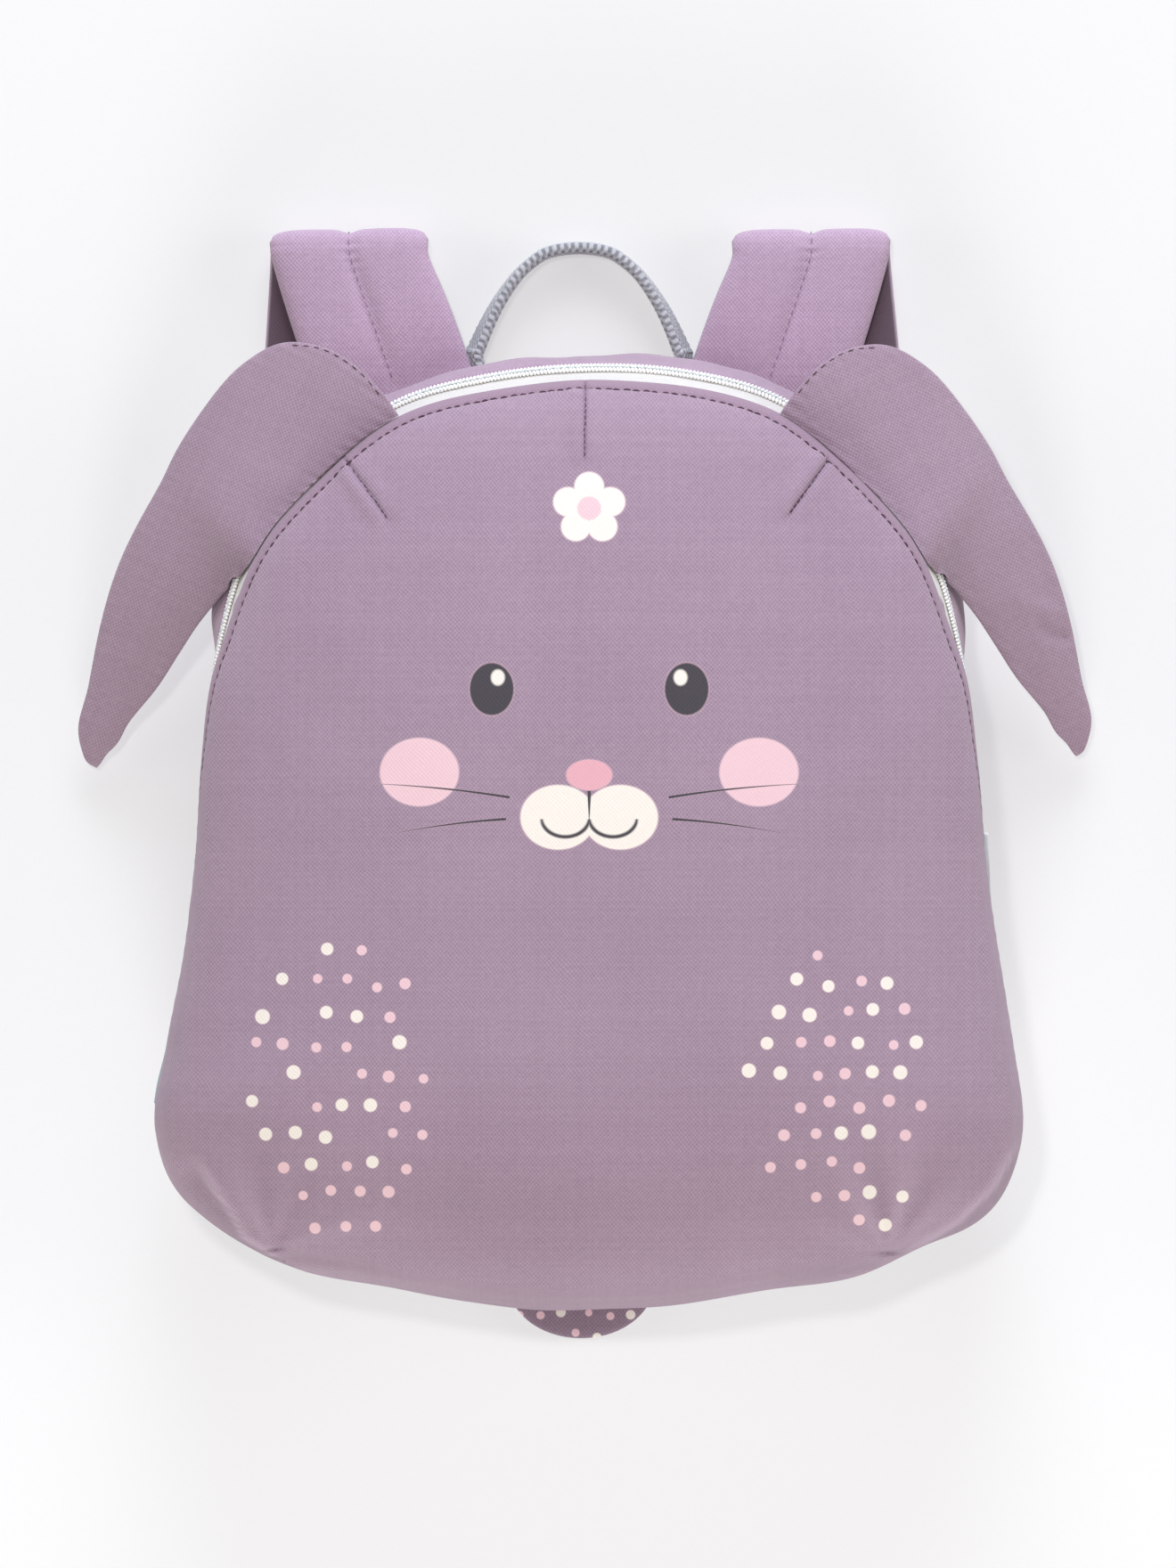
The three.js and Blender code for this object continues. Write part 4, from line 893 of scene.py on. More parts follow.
def front_shape():
    """The front's outer cloth: places round the hem, points, distances from the hem, normals and the
    painted shade and painted highlight of its folds."""
    beside = np.linspace(-7.2, 7.2, 31) / HALF_PERIMETER
    fine = np.concatenate([np.mod(at + beside, 2) for at in (0, 0.177, 0.786, 2 - 0.177, 2 - 0.786)])
    even = np.linspace(0, 2, 470, endpoint=False)
    gap = np.abs(np.mod(even[:, None] - fine[None, :] + 1, 2) - 1).min(1)
    t = np.sort(np.concatenate([even[gap > 0.0011], fine]))
    t = t[np.concatenate([[True], np.diff(t) > 1e-5])]
    v = 2 + np.linspace(0, 1, 700) ** 1.6
    dense = bag_point(t[:, None], v)
    lengths = np.linalg.norm(np.diff(dense, axis=1), axis=2)
    run = np.concatenate([np.zeros((len(t), 1)), np.cumsum(lengths, 1)], 1)
    close = np.concatenate([np.linspace(0, 12, 25), np.linspace(13, 18, 5)])
    rest = np.linspace(0, 1, 72)[1:] ** 0.92
    points = np.zeros((len(t), len(close) + len(rest), 3))
    away = np.zeros(points.shape[:2])
    for i in range(len(t)):
        away[i] = np.concatenate([close, lerp(close[-1], run[i, -1], rest)])
        points[i] = bag_point(t[i], np.interp(away[i], run[i], v))
    normals = grid_normals(points, True)
    normals[:, -1] = (0, 0, 1)
    x, y = in_picture(points)
    depth = -0.9 * (1 - np.clip(away / 1.1, 0, 1)) ** 2
    inside = np.clip(away - HEM, 0, None)
    depth += 0.5 * (1 - np.exp(-inside / 2.2)) * np.exp(-inside / 30)
    depth -= 0.5 * ridge(away - HEM, 0.7)
    rise, dark = corner_folds(x, y)
    pucker = t[:, None] * HALF_PERIMETER * (2 * math.pi / 5.6) + 3 * ripple(points, 30, 3)
    depth += 0.1 * np.sin(pucker) * ridge(away - HEM, 2.6)
    for k, (from_x, from_y, to_x, to_y) in enumerate(TOP_DARTS):
        off, share, hand = line_distance(x, y, ((from_x, from_y), (to_x, to_y)))
        held = smooth(1.02, 0.9, share) * (1 - smooth(0.0, 4.0, np.where(share > 0.999, off, 0)))
        depth -= 0.95 * ridge(off, 0.42) * held * (0.1 + 0.9 * smooth(0.5, 6, away))
        depth += (0.65 + 0.25 * hand) * ridge(off - 2.4, 2.2) * held * smooth(2, 12, away)
        # Painted shade along the dart's groove
        dark += 0.3 * ridge(off, 0.35) * held
        depth -= 0.5 * ridge(np.hypot(x - to_x, y - to_y), 3.2)
        for m in range(4):
            turn = math.radians((-14, 8, 188, -160)[k if k < 1 else k + 1]) + 0.05 * m
            along = (x - to_x) * math.cos(turn) + (y - to_y) * math.sin(turn)
            side = (y - to_y) * math.cos(turn) - (x - to_x) * math.sin(turn) + 0.4 - 1.0 * m
            crease = ridge(side, 0.28) * smooth(0.2, 1.0, along) * smooth(5.0, 2.0, along)
            depth -= (0.3 if k == 0 else 0.16) * crease
    calm = smooth(0, 40, away)
    depth += 0.5 * ripple(points, 85, 11) * calm + 0.22 * ripple(points, 34, 5) * (0.4 + 0.6 * (1 - calm))
    low_down = smooth(-20, -90, points[..., 1])
    depth += 0.35 * ripple(points * (1, 1, 0.3), 24, 8) * ridge(away - 22, 14) * low_down
    depth[:, -1] = depth[:, -1].mean()
    points = points + normals * depth[..., None]
    points[..., 2] += rise * smooth(0.4, 3.5, away)
    return t, points, away, normals, np.clip(dark, -0.5, 0.75)


def make_front():
    """The front's cloth, with its inner side. Also returns what its stitches follow."""
    t, outer, away, normals, dark = front_shape()
    count, rows = away.shape
    chosen = np.unique(np.concatenate([[0, 2, 6, 12, 20], np.arange(29, rows, 5), [rows - 1]]))
    inner = outer[:, chosen] - normals[:, chosen] * WALL
    inner[:, -1] = inner[:, -1].mean(0)
    outer_flat, inner_flat = outer[:, :-1].reshape(-1, 3), inner[:, :-1].reshape(-1, 3)
    points = np.vstack([outer_flat, inner_flat, outer[:, -1].mean(0), inner[0, -1]])
    crown, under = len(points) - 2, len(points) - 1
    base = len(outer_flat)
    wide, narrow = rows - 1, len(chosen) - 1
    faces = [*grid_faces(count, wide, True), *grid_faces(count, narrow, True, base, True)]
    for i in range(count):
        n = (i + 1) % count
        faces.append([i * wide, base + i * narrow, base + n * narrow, n * wide])
        faces.append([i * wide + wide - 1, n * wide + wide - 1, crown])
        faces.append([base + n * narrow + narrow - 1, base + i * narrow + narrow - 1, under])
    hem = np.concatenate([
        smooth(HEM + 0.4, HEM - 0.2, away[:, :-1]).ravel(), np.zeros(len(inner_flat)), [0, 0]])
    # fold holds the painted shade in the creases and the painted highlight on the crests
    fold = np.concatenate([dark[:, :-1].ravel(), np.zeros(len(inner_flat)), [0, 0]])
    piece = new_piece(
        "front_cloth", points, faces, lilac_cloth("lilac printed cloth", face_print, hem_tint_and_painted_folds=True),
        values={"hem": hem, "fold": fold})
    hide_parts("front_panel")
    return piece, t, outer, away


def on_front(t, outer, away, at, distance):
    """Points on the front's cloth at places round the hem and distances from it."""
    t2 = np.concatenate([t - 2, t, t + 2])
    i = np.clip(np.searchsorted(t2, at) - 1, 0, len(t2) - 2)
    share = ((at - t2[i]) / (t2[i + 1] - t2[i]))[:, None]
    both = []
    for k in (i, i + 1):
        k = k % len(t)
        both.append(np.array([
            [np.interp(d, away[c], outer[c, :, axis]) for axis in range(3)] for c, d in zip(k, distance)]))
    return lerp(both[0], both[1], share)


def make_hem_stitches(t, outer, away, plum):
    """Topstitching all round the front, at the hem's inner edge."""
    pitch, length = 2.7, 2.15
    count = int(2 * HALF_PERIMETER / pitch)
    dice = np.random.default_rng(4)
    at = (np.arange(count) + dice.uniform(-0.12, 0.12, count)) * 2 / count
    sway = HEM + dice.uniform(-0.12, 0.12, count)
    half = length / 2 * dice.uniform(0.88, 1.1, count) / HALF_PERIMETER
    starts = on_front(t, outer, away, at - half, sway)
    ends = on_front(t, outer, away, at + half, sway)
    normals = unit(np.cross(
        on_front(t, outer, away, at, sway + 0.8) - on_front(t, outer, away, at, sway - 0.8), ends - starts))
    stitches("hem_stitching", starts, ends, normals, 0.6, plum)


def make_dart_stitches(front, plum):
    """Thread along the sewn darts, on the cloth as the camera sees it."""
    points = [v.co * 1000 for v in front.data.vertices]
    tree = BVHTree.FromPolygons(points, [tuple(p.vertices) for p in front.data.polygons])
    eye = Vector(CAMERA)

    def seen(x, y):
        return tree.ray_cast(eye, (Vector((x, y, PICTURE_HIGH)) - eye).normalized())

    starts, ends, normals = [], [], []
    dice = np.random.default_rng(9)
    pitch = 1.7
    for from_x, from_y, to_x, to_y in TOP_DARTS:
        length = math.hypot(to_x - from_x, to_y - from_y)
        dx, dy = (to_x - from_x) / length, (to_y - from_y) / length
        for k in range(int(length / pitch)):
            at = (k + 0.5) * pitch
            side = dice.uniform(-0.12, 0.12)
            mid_x, mid_y = from_x + dx * at - dy * side, from_y + dy * at + dx * side
            half = pitch * 0.38
            a, b = seen(mid_x - dx * half, mid_y - dy * half), seen(mid_x + dx * half, mid_y + dy * half)
            if a[0] is not None and b[0] is not None:
                starts.append(a[0][:]), ends.append(b[0][:]), normals.append(a[1][:])
    stitches(
        "dart_stitching", np.array(starts), np.array(ends), np.array(normals), 0.32, plum)


# Side walls and zip

def panel(name, t, v, depth, thick, finish, node):
    """A closed panel cut from the bag's surface, moved out by depth and as thick as said."""
    base = bag_point(t[:, None], v)
    normals = bag_normal(t[:, None], v)
    outer = base + normals * depth[..., None]
    inner = outer - normals * thick
    loops = np.concatenate([outer, inner[:, ::-1]], 1)
    rows, around = loops.shape[:2]
    faces = list(grid_faces(rows, around, False))
    for i in range(rows - 1):
        faces.append([i * around + around - 1, (i + 1) * around + around - 1, (i + 1) * around, i * around])
    width = outer.shape[1]
    for i, flip in ((0, False), (rows - 1, True)):
        for j in range(width - 1):
            a, b = i * around + j, i * around + around - 1 - j
            cap = [a, a + 1, b - 1, b]
            faces.append(cap[::-1] if flip else cap)
    piece = new_piece(name, loops.reshape(-1, 3), faces, finish)
    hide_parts(node)
    return piece


def wall_depth(t, v, seed, span):
    """Soft folds of a side wall, with rounded edges. span is its height in millimetres."""
    base = bag_point(t[:, None], v)
    rise = (v / v[-1]) * span
    folded = sum((1 - np.clip(away / 1.2, 0, 1)) ** 2 for away in (rise, span - rise))
    depth = np.zeros(base.shape[:2]) - 0.5 - 0.9 * folded[None, :]
    middle = np.sin(math.pi * v / v[-1])[None, :]
    depth += 1.0 * ripple(base * (1, 1, 1.4), 42, seed) * middle
    depth += 0.55 * ripple(base * (1, 1, 0.4), 17, seed + 1) * middle ** 0.5
    tight = np.sin(t * HALF_PERIMETER * (2 * math.pi / 9) + 2.5 * ripple(base[:, 0], 30, seed + 2))[:, None]
    depth += 0.16 * tight * (ridge(rise - span, 6) + ridge(rise, 6))[None, :]
    return depth


def make_walls(cloth, top_lit_cloth):
    """The side wall over the top with the zip, and the one round the bottom up to the front's hem."""
    t = np.linspace(-ZIP_END + PANEL_GAP, ZIP_END - PANEL_GAP, 330)
    v = np.linspace(0.0, 0.992, 30)
    depth = wall_depth(t, v, 21, 38)
    depth += 0.25 * smooth(0.8, 1.0, v)[None, :]
    # The top wall takes a lighter copy of the lilac cloth: painted light, for the light that falls on the
    # top of the bag
    wall = panel("top_wall", t, v, depth, 1.8, top_lit_cloth, "top_gusset")
    t = np.linspace(ZIP_END + PANEL_GAP, 2 - ZIP_END - PANEL_GAP, 420)
    v = np.concatenate([np.linspace(0, 1, 24), np.linspace(1, 1.985, 9)[1:]])
    depth = wall_depth(t, v, 31, 42) - 0.5
    wall = panel("base_wall", t, v, depth, 1.8, cloth, "base_gusset")


def pellets(middles, along, across, up, long, wide, high):
    """Rounded pellets, long across the zip and wide along it: their points and faces."""
    rings = ((-1.0, 0.3), (-0.82, 0.8), (-0.4, 1.0), (0.4, 1.0), (0.82, 0.8), (1.0, 0.3))
    sides = 8
    points = []
    for at, size in rings:
        for k in range(sides):
            turn = 2 * math.pi * k / sides
            points.append(
                middles + across * (at * long / 2) + along * (math.cos(turn) * size * wide / 2)
                + up * (math.sin(turn) * size * high / 2))
    return np.stack(points, 1).reshape(-1, 3), bar_faces(len(middles), len(rings), sides)


def make_zip(white_cloth, white_coil, grey_thread):
    """The tape, the two rows of the coil and the thread of its core."""
    t = np.linspace(-ZIP_END + PANEL_GAP, ZIP_END - PANEL_GAP, 520)
    v = np.linspace(1.01, 1.99, 20)
    depth = np.zeros((len(t), len(v))) - 0.3
    depth -= 0.18 * ridge(v - 1.62, 0.02)[None, :] + 0.12 * ridge(v - 1.8, 0.02)[None, :]
    depth += 0.1 * ripple(bag_point(t[:, None], v), 26, 41)
    tape = panel("tape", t, v, depth, 1.0, white_cloth, "zip_tape")
    pitch = 1.0
    end = ZIP_END - 11 / HALF_PERIMETER
    count = int(2 * end * HALF_PERIMETER / pitch)
    at = np.linspace(-end, end, count)
    points, faces = [], []
    for place, shift, long, wide, lift in ((1.14, 0.0, 2.3, 0.97, 0.4), (1.375, 0.5, 2.3, 0.97, 0.3)):
        here = at + shift * pitch / HALF_PERIMETER
        up = bag_normal(here, place)
        along = unit(bag_point(here + 0.002, place) - bag_point(here - 0.002, place))
        across = np.cross(up, along)
        lean = 0.25 if place < 1.3 else -0.25
        more, sides = pellets(
            bag_point(here, place) + up * lift, unit(along - across * lean), unit(across + along * lean), up,
            long, wide, 1.1)
        base = sum(map(len, points))
        faces += [[i + base for i in face] for face in sides]
        points.append(more)
    coil = new_piece("coil", np.vstack(points), faces, white_coil)
    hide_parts("zip_coil")
    between, core_high = 1.257, 0.6
    dash = np.linspace(-end, end, int(2 * end * HALF_PERIMETER / 1.9))
    half = 0.75 / HALF_PERIMETER
    ups = bag_normal(dash, between)
    starts, ends = (bag_point(dash + shift, between) + ups * core_high for shift in (-half, half))
    stitches("zip_core", starts, ends, ups, 0.5, grey_thread)


def make_label(teal):
    """The blank ribbon label, which stands off the left wall a little more at its upper end."""
    middle = 2 - 0.603
    length, width = 34, 14
    half = length / 2 / HALF_PERIMETER
    t = np.linspace(middle - half, middle + half, 60)
    speed = np.linalg.norm(bag_point(middle, 0.6) - bag_point(middle, 0.7)) / 0.1
    v = np.linspace(0.98 - width / speed, 0.98, 16)
    depth = np.zeros((len(t), len(v))) + SEAM_GAP + 0.5
    depth += lerp(0.6, 2.0, np.linspace(0, 1, len(t)))[:, None] * smooth(0, 1, (v - v[0]) / (v[-1] - v[0]))
    depth += 0.2 * ripple(bag_point(t[:, None], v), 14, 51) + 0.5 * ridge(v - v[0], 0.08)[None, :]
    ribbon = panel("side_ribbon", t, v, depth, 0.8, teal, "side_label")


# Ears and tail

def through_rows(rows, count):
    """A count of rows on a smooth curve through a few rows of points, evenly along their longest line."""
    rows = np.asarray(rows, float)
    steps = np.linalg.norm(np.diff(rows, axis=0), axis=-1).reshape(len(rows) - 1, -1).max(1)
    knots = np.concatenate([[0], np.cumsum(np.maximum(steps, 1e-6))])
    rows = np.concatenate([[2 * rows[0] - rows[1]], rows, [2 * rows[-1] - rows[-2]]])
    ends = np.concatenate([[-knots[1]], knots, [2 * knots[-1] - knots[-2]]])
    return curve(rows, ends, np.linspace(0, knots[-1], count))


def pillow(upper, lower):
    """A closed two-sided cloth shape from two grids of points that share their long edges: its points and
    faces, and how many points lie round it."""
    loops = np.concatenate([upper, lower[:, ::-1][:, 1:-1]], 1)
    rows, around = loops.shape[:2]
    faces = tube_faces(rows, around)
    for start, flip in ((0, True), ((rows - 1) * around, False)):
        for j in range(upper.shape[1] - 1):
            below, after = (around - j - 1) % around, (around - j) % around
            cap = list(dict.fromkeys([start + k for k in (j, j + 1, below, after)]))
            if len(cap) > 2:
                faces.append(cap[::-1] if flip else cap)
    return loops.reshape(-1, 3), faces, around


def blow_up(piece, held, pressure, most):
    """Fills a sewn cloth shape by cloth simulation: held is how firmly each point is sewn down, and no
    point moves further than most millimetres."""
    group = piece.vertex_groups.new(name="sewn")
    for i, weight in enumerate(held):
        if weight > 0:
            group.add([i], float(weight), "REPLACE")
    start = np.zeros(len(piece.data.vertices) * 3)
    piece.data.vertices.foreach_get("co", start)
    cloth = piece.modifiers.new("filling", "CLOTH")
    frames_run = 20
    settings = cloth.settings
    settings.quality = 6
    settings.mass = 0.15
    settings.tension_stiffness = settings.compression_stiffness = 12
    settings.shear_stiffness = 6
    settings.bending_stiffness = 0.15
    settings.use_pressure = True
    settings.uniform_pressure_force = pressure
    settings.vertex_group_mass = "sewn"
    settings.pin_stiffness = 1.0
    settings.effector_weights.gravity = 0
    cloth.collision_settings.use_collision = False
    cloth.collision_settings.use_self_collision = False
    cloth.point_cache.frame_start, cloth.point_cache.frame_end = 1, frames_run
    scene = bpy.context.scene
    for step in range(1, frames_run + 1):
        scene.frame_set(step)
    evaluated = piece.evaluated_get(bpy.context.evaluated_depsgraph_get())
    end = np.zeros(len(piece.data.vertices) * 3)
    evaluated.data.vertices.foreach_get("co", end)
    piece.modifiers.remove(cloth)
    piece.vertex_groups.remove(group)
    scene.frame_set(1)
    start, end = start.reshape(-1, 3), end.reshape(-1, 3)
    move = end - start
    size = np.linalg.norm(move, axis=1, keepdims=True)
    move *= np.minimum(1, most * 0.001 / np.maximum(size, 1e-9))
    piece.data.vertices.foreach_set("co", (start + move).ravel())
    piece.data.update()


def settle(piece, change):
    """Applies a function on a piece's millimetre points."""
    co = np.zeros(len(piece.data.vertices) * 3)
    piece.data.vertices.foreach_get("co", co)
    piece.data.vertices.foreach_set("co", (change(co.reshape(-1, 3) * 1000) * 0.001).ravel())
    piece.data.update()


def refine(piece):
    """One level of subdivision, applied."""
    piece.modifiers.new("finer", "SUBSURF").levels = 1
    evaluated = piece.evaluated_get(bpy.context.evaluated_depsgraph_get())
    finer = bpy.data.meshes.new_from_object(evaluated)
    piece.modifiers.clear()
    piece.data = finer


def plump(share):
    """How full a stuffed piece is across its width."""
    return np.sin(math.pi * share) ** 0.7


def ear_root(side, share):
    """A place on the seam that holds an ear, from its upper end to its lower."""
    t = (0 if side > 0 else 2) + side * lerp(EAR_ROOT_SPAN[0], EAR_ROOT_SPAN[1], share)
    _, _, nx, ny, _ = edge_at(t)
    return bag_point(t, 2) + np.array([-nx, -ny, EAR_ROOT * 0.5])


def make_ear(node, side, reach, drop, lean_top, lean_tip, lift, hull, plum):
    """A stuffed ear, filled by cloth simulation, with stitches along its upper edge."""
    anchor = ear_root(side, 0.0)
    anchor_own = anchor - SHIFT

    def free(out, up, high, hidden=False):
        lean = lerp(lean_top, lean_tip, smooth(0.1, -0.5, up)) * smooth(0, 0.3, out)
        rise = lift * smooth(0, 0.3, out)
        if hidden:
            lean, rise = 0.7, rise * 0.4
        own = np.array([
            anchor_own[0] + side * (out * EAR_SPREAD * reach + lean),
            anchor_own[1] + up * EAR_LENGTH * drop + rise, anchor_own[2] * high])
        return own + SHIFT

    rows = []
    for inner, outer in EAR_ROWS:
        sewn = len(inner) == 1
        edge = ear_root(side, inner[0]) if sewn else free(*inner, hidden=True)
        rows.append([edge, free(*outer), (1.0 if sewn else 0.0, 0, 0)])
    dense = through_rows(rows, 88)
    inner, outer, sewn = dense[:, 0], dense[:, 1], np.clip(dense[:, 2, 0], 0, 1)
    columns = 22
    share = np.linspace(0, 1, columns + 1)
    share = (1 - np.cos(share * math.pi)) / 4 + share / 2
    width = np.linalg.norm(outer - inner, axis=1)
    start = 0.45
    crown = np.minimum(1, width / (0.3 * EAR_LENGTH)) * (EAR_THICK - EAR_EDGE) / 2 * start
    middle = lerp(inner[:, None], outer[:, None], share[None, :, None])
    swell = crown[:, None] * plump(share)[None, :]
    edge_half = 0.35 * np.ones_like(swell)
    edge_half[:, [0, -1]] = 0
    upper, lower = middle.copy(), middle.copy()
    upper[..., 2] += swell + edge_half
    lower[..., 2] -= swell * 0.7 + edge_half
    points, faces, around = pillow(upper, lower)
    if side > 0:
        faces = [f[::-1] for f in faces]
    cloth = lilac_cloth(f"lilac {node.replace('_', ' ')} cloth", angle=side * 0.42, shade=1.0, cool=0.985)
    piece = new_piece(f"stuffed_{node}", points, faces, cloth)
    row, column = np.divmod(np.arange(len(points)), around)
    held = np.where(column == 0, 0.25 + 0.75 * sewn[row], 0.0)
    held = np.where(column == columns, 0.3, held)
    held = np.where(row == 0, 1.0, np.where(row == len(dense) - 1, 0.5, held))
    blow_up(piece, held, 4.0, 6.0)
    refine(piece)

    def finished(points):
        x, y = points[:, 0], points[:, 1]
        flatter = points * (1, 1, 0.4)
        dents = 0.7 * ripple(flatter, 46, 60 + side) + 0.25 * ripple(flatter, 17, 63 + side)
        away = np.linalg.norm(points[:, None, :2] - np.vstack([inner, outer])[None, :, :2], axis=2).min(1)
        calm = smooth(0.5, 7, away)
        moved = points.copy()
        moved[:, 2] += dents * calm
        if side > 0:
            off, part, _ = line_distance(x, y, ((127.5, 47.5), (131.5, 43.5), (136.5, 42.6)))
            moved[:, 2] -= 1.3 * ridge(off, 1.7) * smooth(0, 0.25, part) * smooth(0, 3, away)
            off, _, _ = line_distance(x, y, ((125, 52), (132, 49.5), (139, 49)))
            moved[:, 2] += 0.7 * ridge(off, 2.6) * smooth(0, 3, away)
        moved[:, 2] += 0.15 * np.sin(y * 1.5 + x * 0.9) * smooth(6, 1, away) * smooth(0.2, 1.5, away)
        return keep_off(moved, hull, 0.35)

    settle(piece, finished)
    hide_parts(node)
    line = through_rows([row[1] for row in rows[:4]], 60)
    run = np.concatenate([[0], np.cumsum(np.linalg.norm(np.diff(line, axis=0), axis=1))])
    tree = BVHTree.FromPolygons(
        [v.co * 1000 for v in piece.data.vertices], [tuple(p.vertices) for p in piece.data.polygons])
    starts, ends, normals = [], [], []
    for at in np.arange(3.0, min(run[-1] - 2, 34), 3.3):
        pair = []
        for d in (at - 1.0, at + 1.0):
            p = np.array([np.interp(d, run, line[:, k]) for k in range(2)])
            p += unit(anchor[:2] + (side * 14, -10) - p) * 1.1
            pair.append(tree.ray_cast(Vector((p[0], p[1], 120)), Vector((0, 0, -1))))
        if pair[0][0] is not None and pair[1][0] is not None:
            starts.append(pair[0][0][:]), ends.append(pair[1][0][:]), normals.append(pair[0][1][:])
    stitches(
        f"{node}_stitching", np.array(starts), np.array(ends), np.array(normals), 0.32, plum)


def make_tail(hull):
    """The stuffed tail, which hangs down from the seam and lies on the floor."""
    _, bottom, _, _, row = edge_at(np.array(1.0))
    root_y = float(bottom) + float(row[4]) + 2 + SHIFT[1]
    root_z, rest_z = BACK_Z + 3, TAIL_THICK / 2 + SEAM_GAP
    s = np.sin(np.linspace(-math.pi / 2, math.pi / 2, 41))
    roundness = np.maximum(0, 1 - s * s)
    depth = 2 + np.maximum(TAIL_LENGTH * roundness ** 0.4, 1.2)
    columns = 16
    share = np.linspace(0, 1, columns + 1)
    down = smooth(2, TAIL_LENGTH * 0.45, depth[:, None] * share[None, :])
    z = lerp(root_z, rest_z, down)
    x = np.broadcast_to((SHIFT[0] + TAIL_OFFSET + s * TAIL_WIDTH / 2)[:, None], z.shape)
    y = root_y - depth[:, None] * share[None, :]
    start = 0.5
    swell = (TAIL_THICK - EAR_EDGE) / 2 * plump(share)[None, :] * (roundness ** 0.5)[:, None] * start + 0.3
    swell[:, [0, -1]] = 0
    upper, lower = np.stack([x, y, z + swell], -1), np.stack([x, y, z - swell], -1)
    points, faces, around = pillow(upper, lower)
    piece = new_piece("stuffed_tail", points, [f[::-1] for f in faces],
                      lilac_cloth("lilac tail cloth", tail_print, shade=0.8))
    column = np.arange(len(points)) % around
    held = np.where(column == 0, 1.0, np.where(column == columns, 0.3, 0.0))
    blow_up(piece, held, 4.0, 3.0)
    refine(piece)

    def finished(points):
        moved = keep_off(points, hull, 0.35)
        moved[:, 2] = np.maximum(moved[:, 2], 0.15)
        return moved

    settle(piece, finished)
    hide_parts("tail")


# Straps, handle and webbing

def frames(points, across, up, width, thick, count):
    """Dense stations from a few, on a smooth curve: middles, directions across and out, widths and
    thicknesses."""
    packed = np.stack([points, across * 40, up * 40, np.stack([width, thick, width * 0], -1)], 1)
    dense = through_rows(packed, count)
    along = unit(np.gradient(dense[:, 0], axis=0))
    out = unit(dense[:, 1])
    face = unit(np.cross(along, out))
    face *= np.sign((face * dense[:, 2]).sum(1, keepdims=True))
    return dense[:, 0], out, face, dense[:, 3, 0], dense[:, 3, 1]


def stations(rows, count):
    """Dense stations from rows of middle, direction across, direction out, width and thickness."""
    at, across, up, width, thick = (np.array([r[k] for r in rows]) for k in range(5))
    return frames(at + SHIFT * (1, 1, 0), across, up, width, thick, count)


def path_length(points):
    """The length along a line up to each of its points."""
    return np.concatenate([[0], np.cumsum(np.linalg.norm(np.diff(points, axis=0), axis=1))])


def across_of(direction):
    return unit(np.array([direction[1], -direction[0], 0.0]))


def strap_line(side, root_out, fold_out, end_out):
    """A strap's sewn end, its fold and its padding's lower end, and the direction from the fold there."""
    root = np.array([side * root_out * HALF_WIDTH, HALF_HEIGHT - STRAP_ROOT_DOWN, 0])
    fold = np.array([side * fold_out * HALF_WIDTH, HALF_HEIGHT + STRAP_REACH - STRAP_THICK, 0])
    end = np.array([side * end_out * HALF_WIDTH, STRAP_END_UP * HALF_HEIGHT, 0])
    return root, fold, end, unit(end - fold)


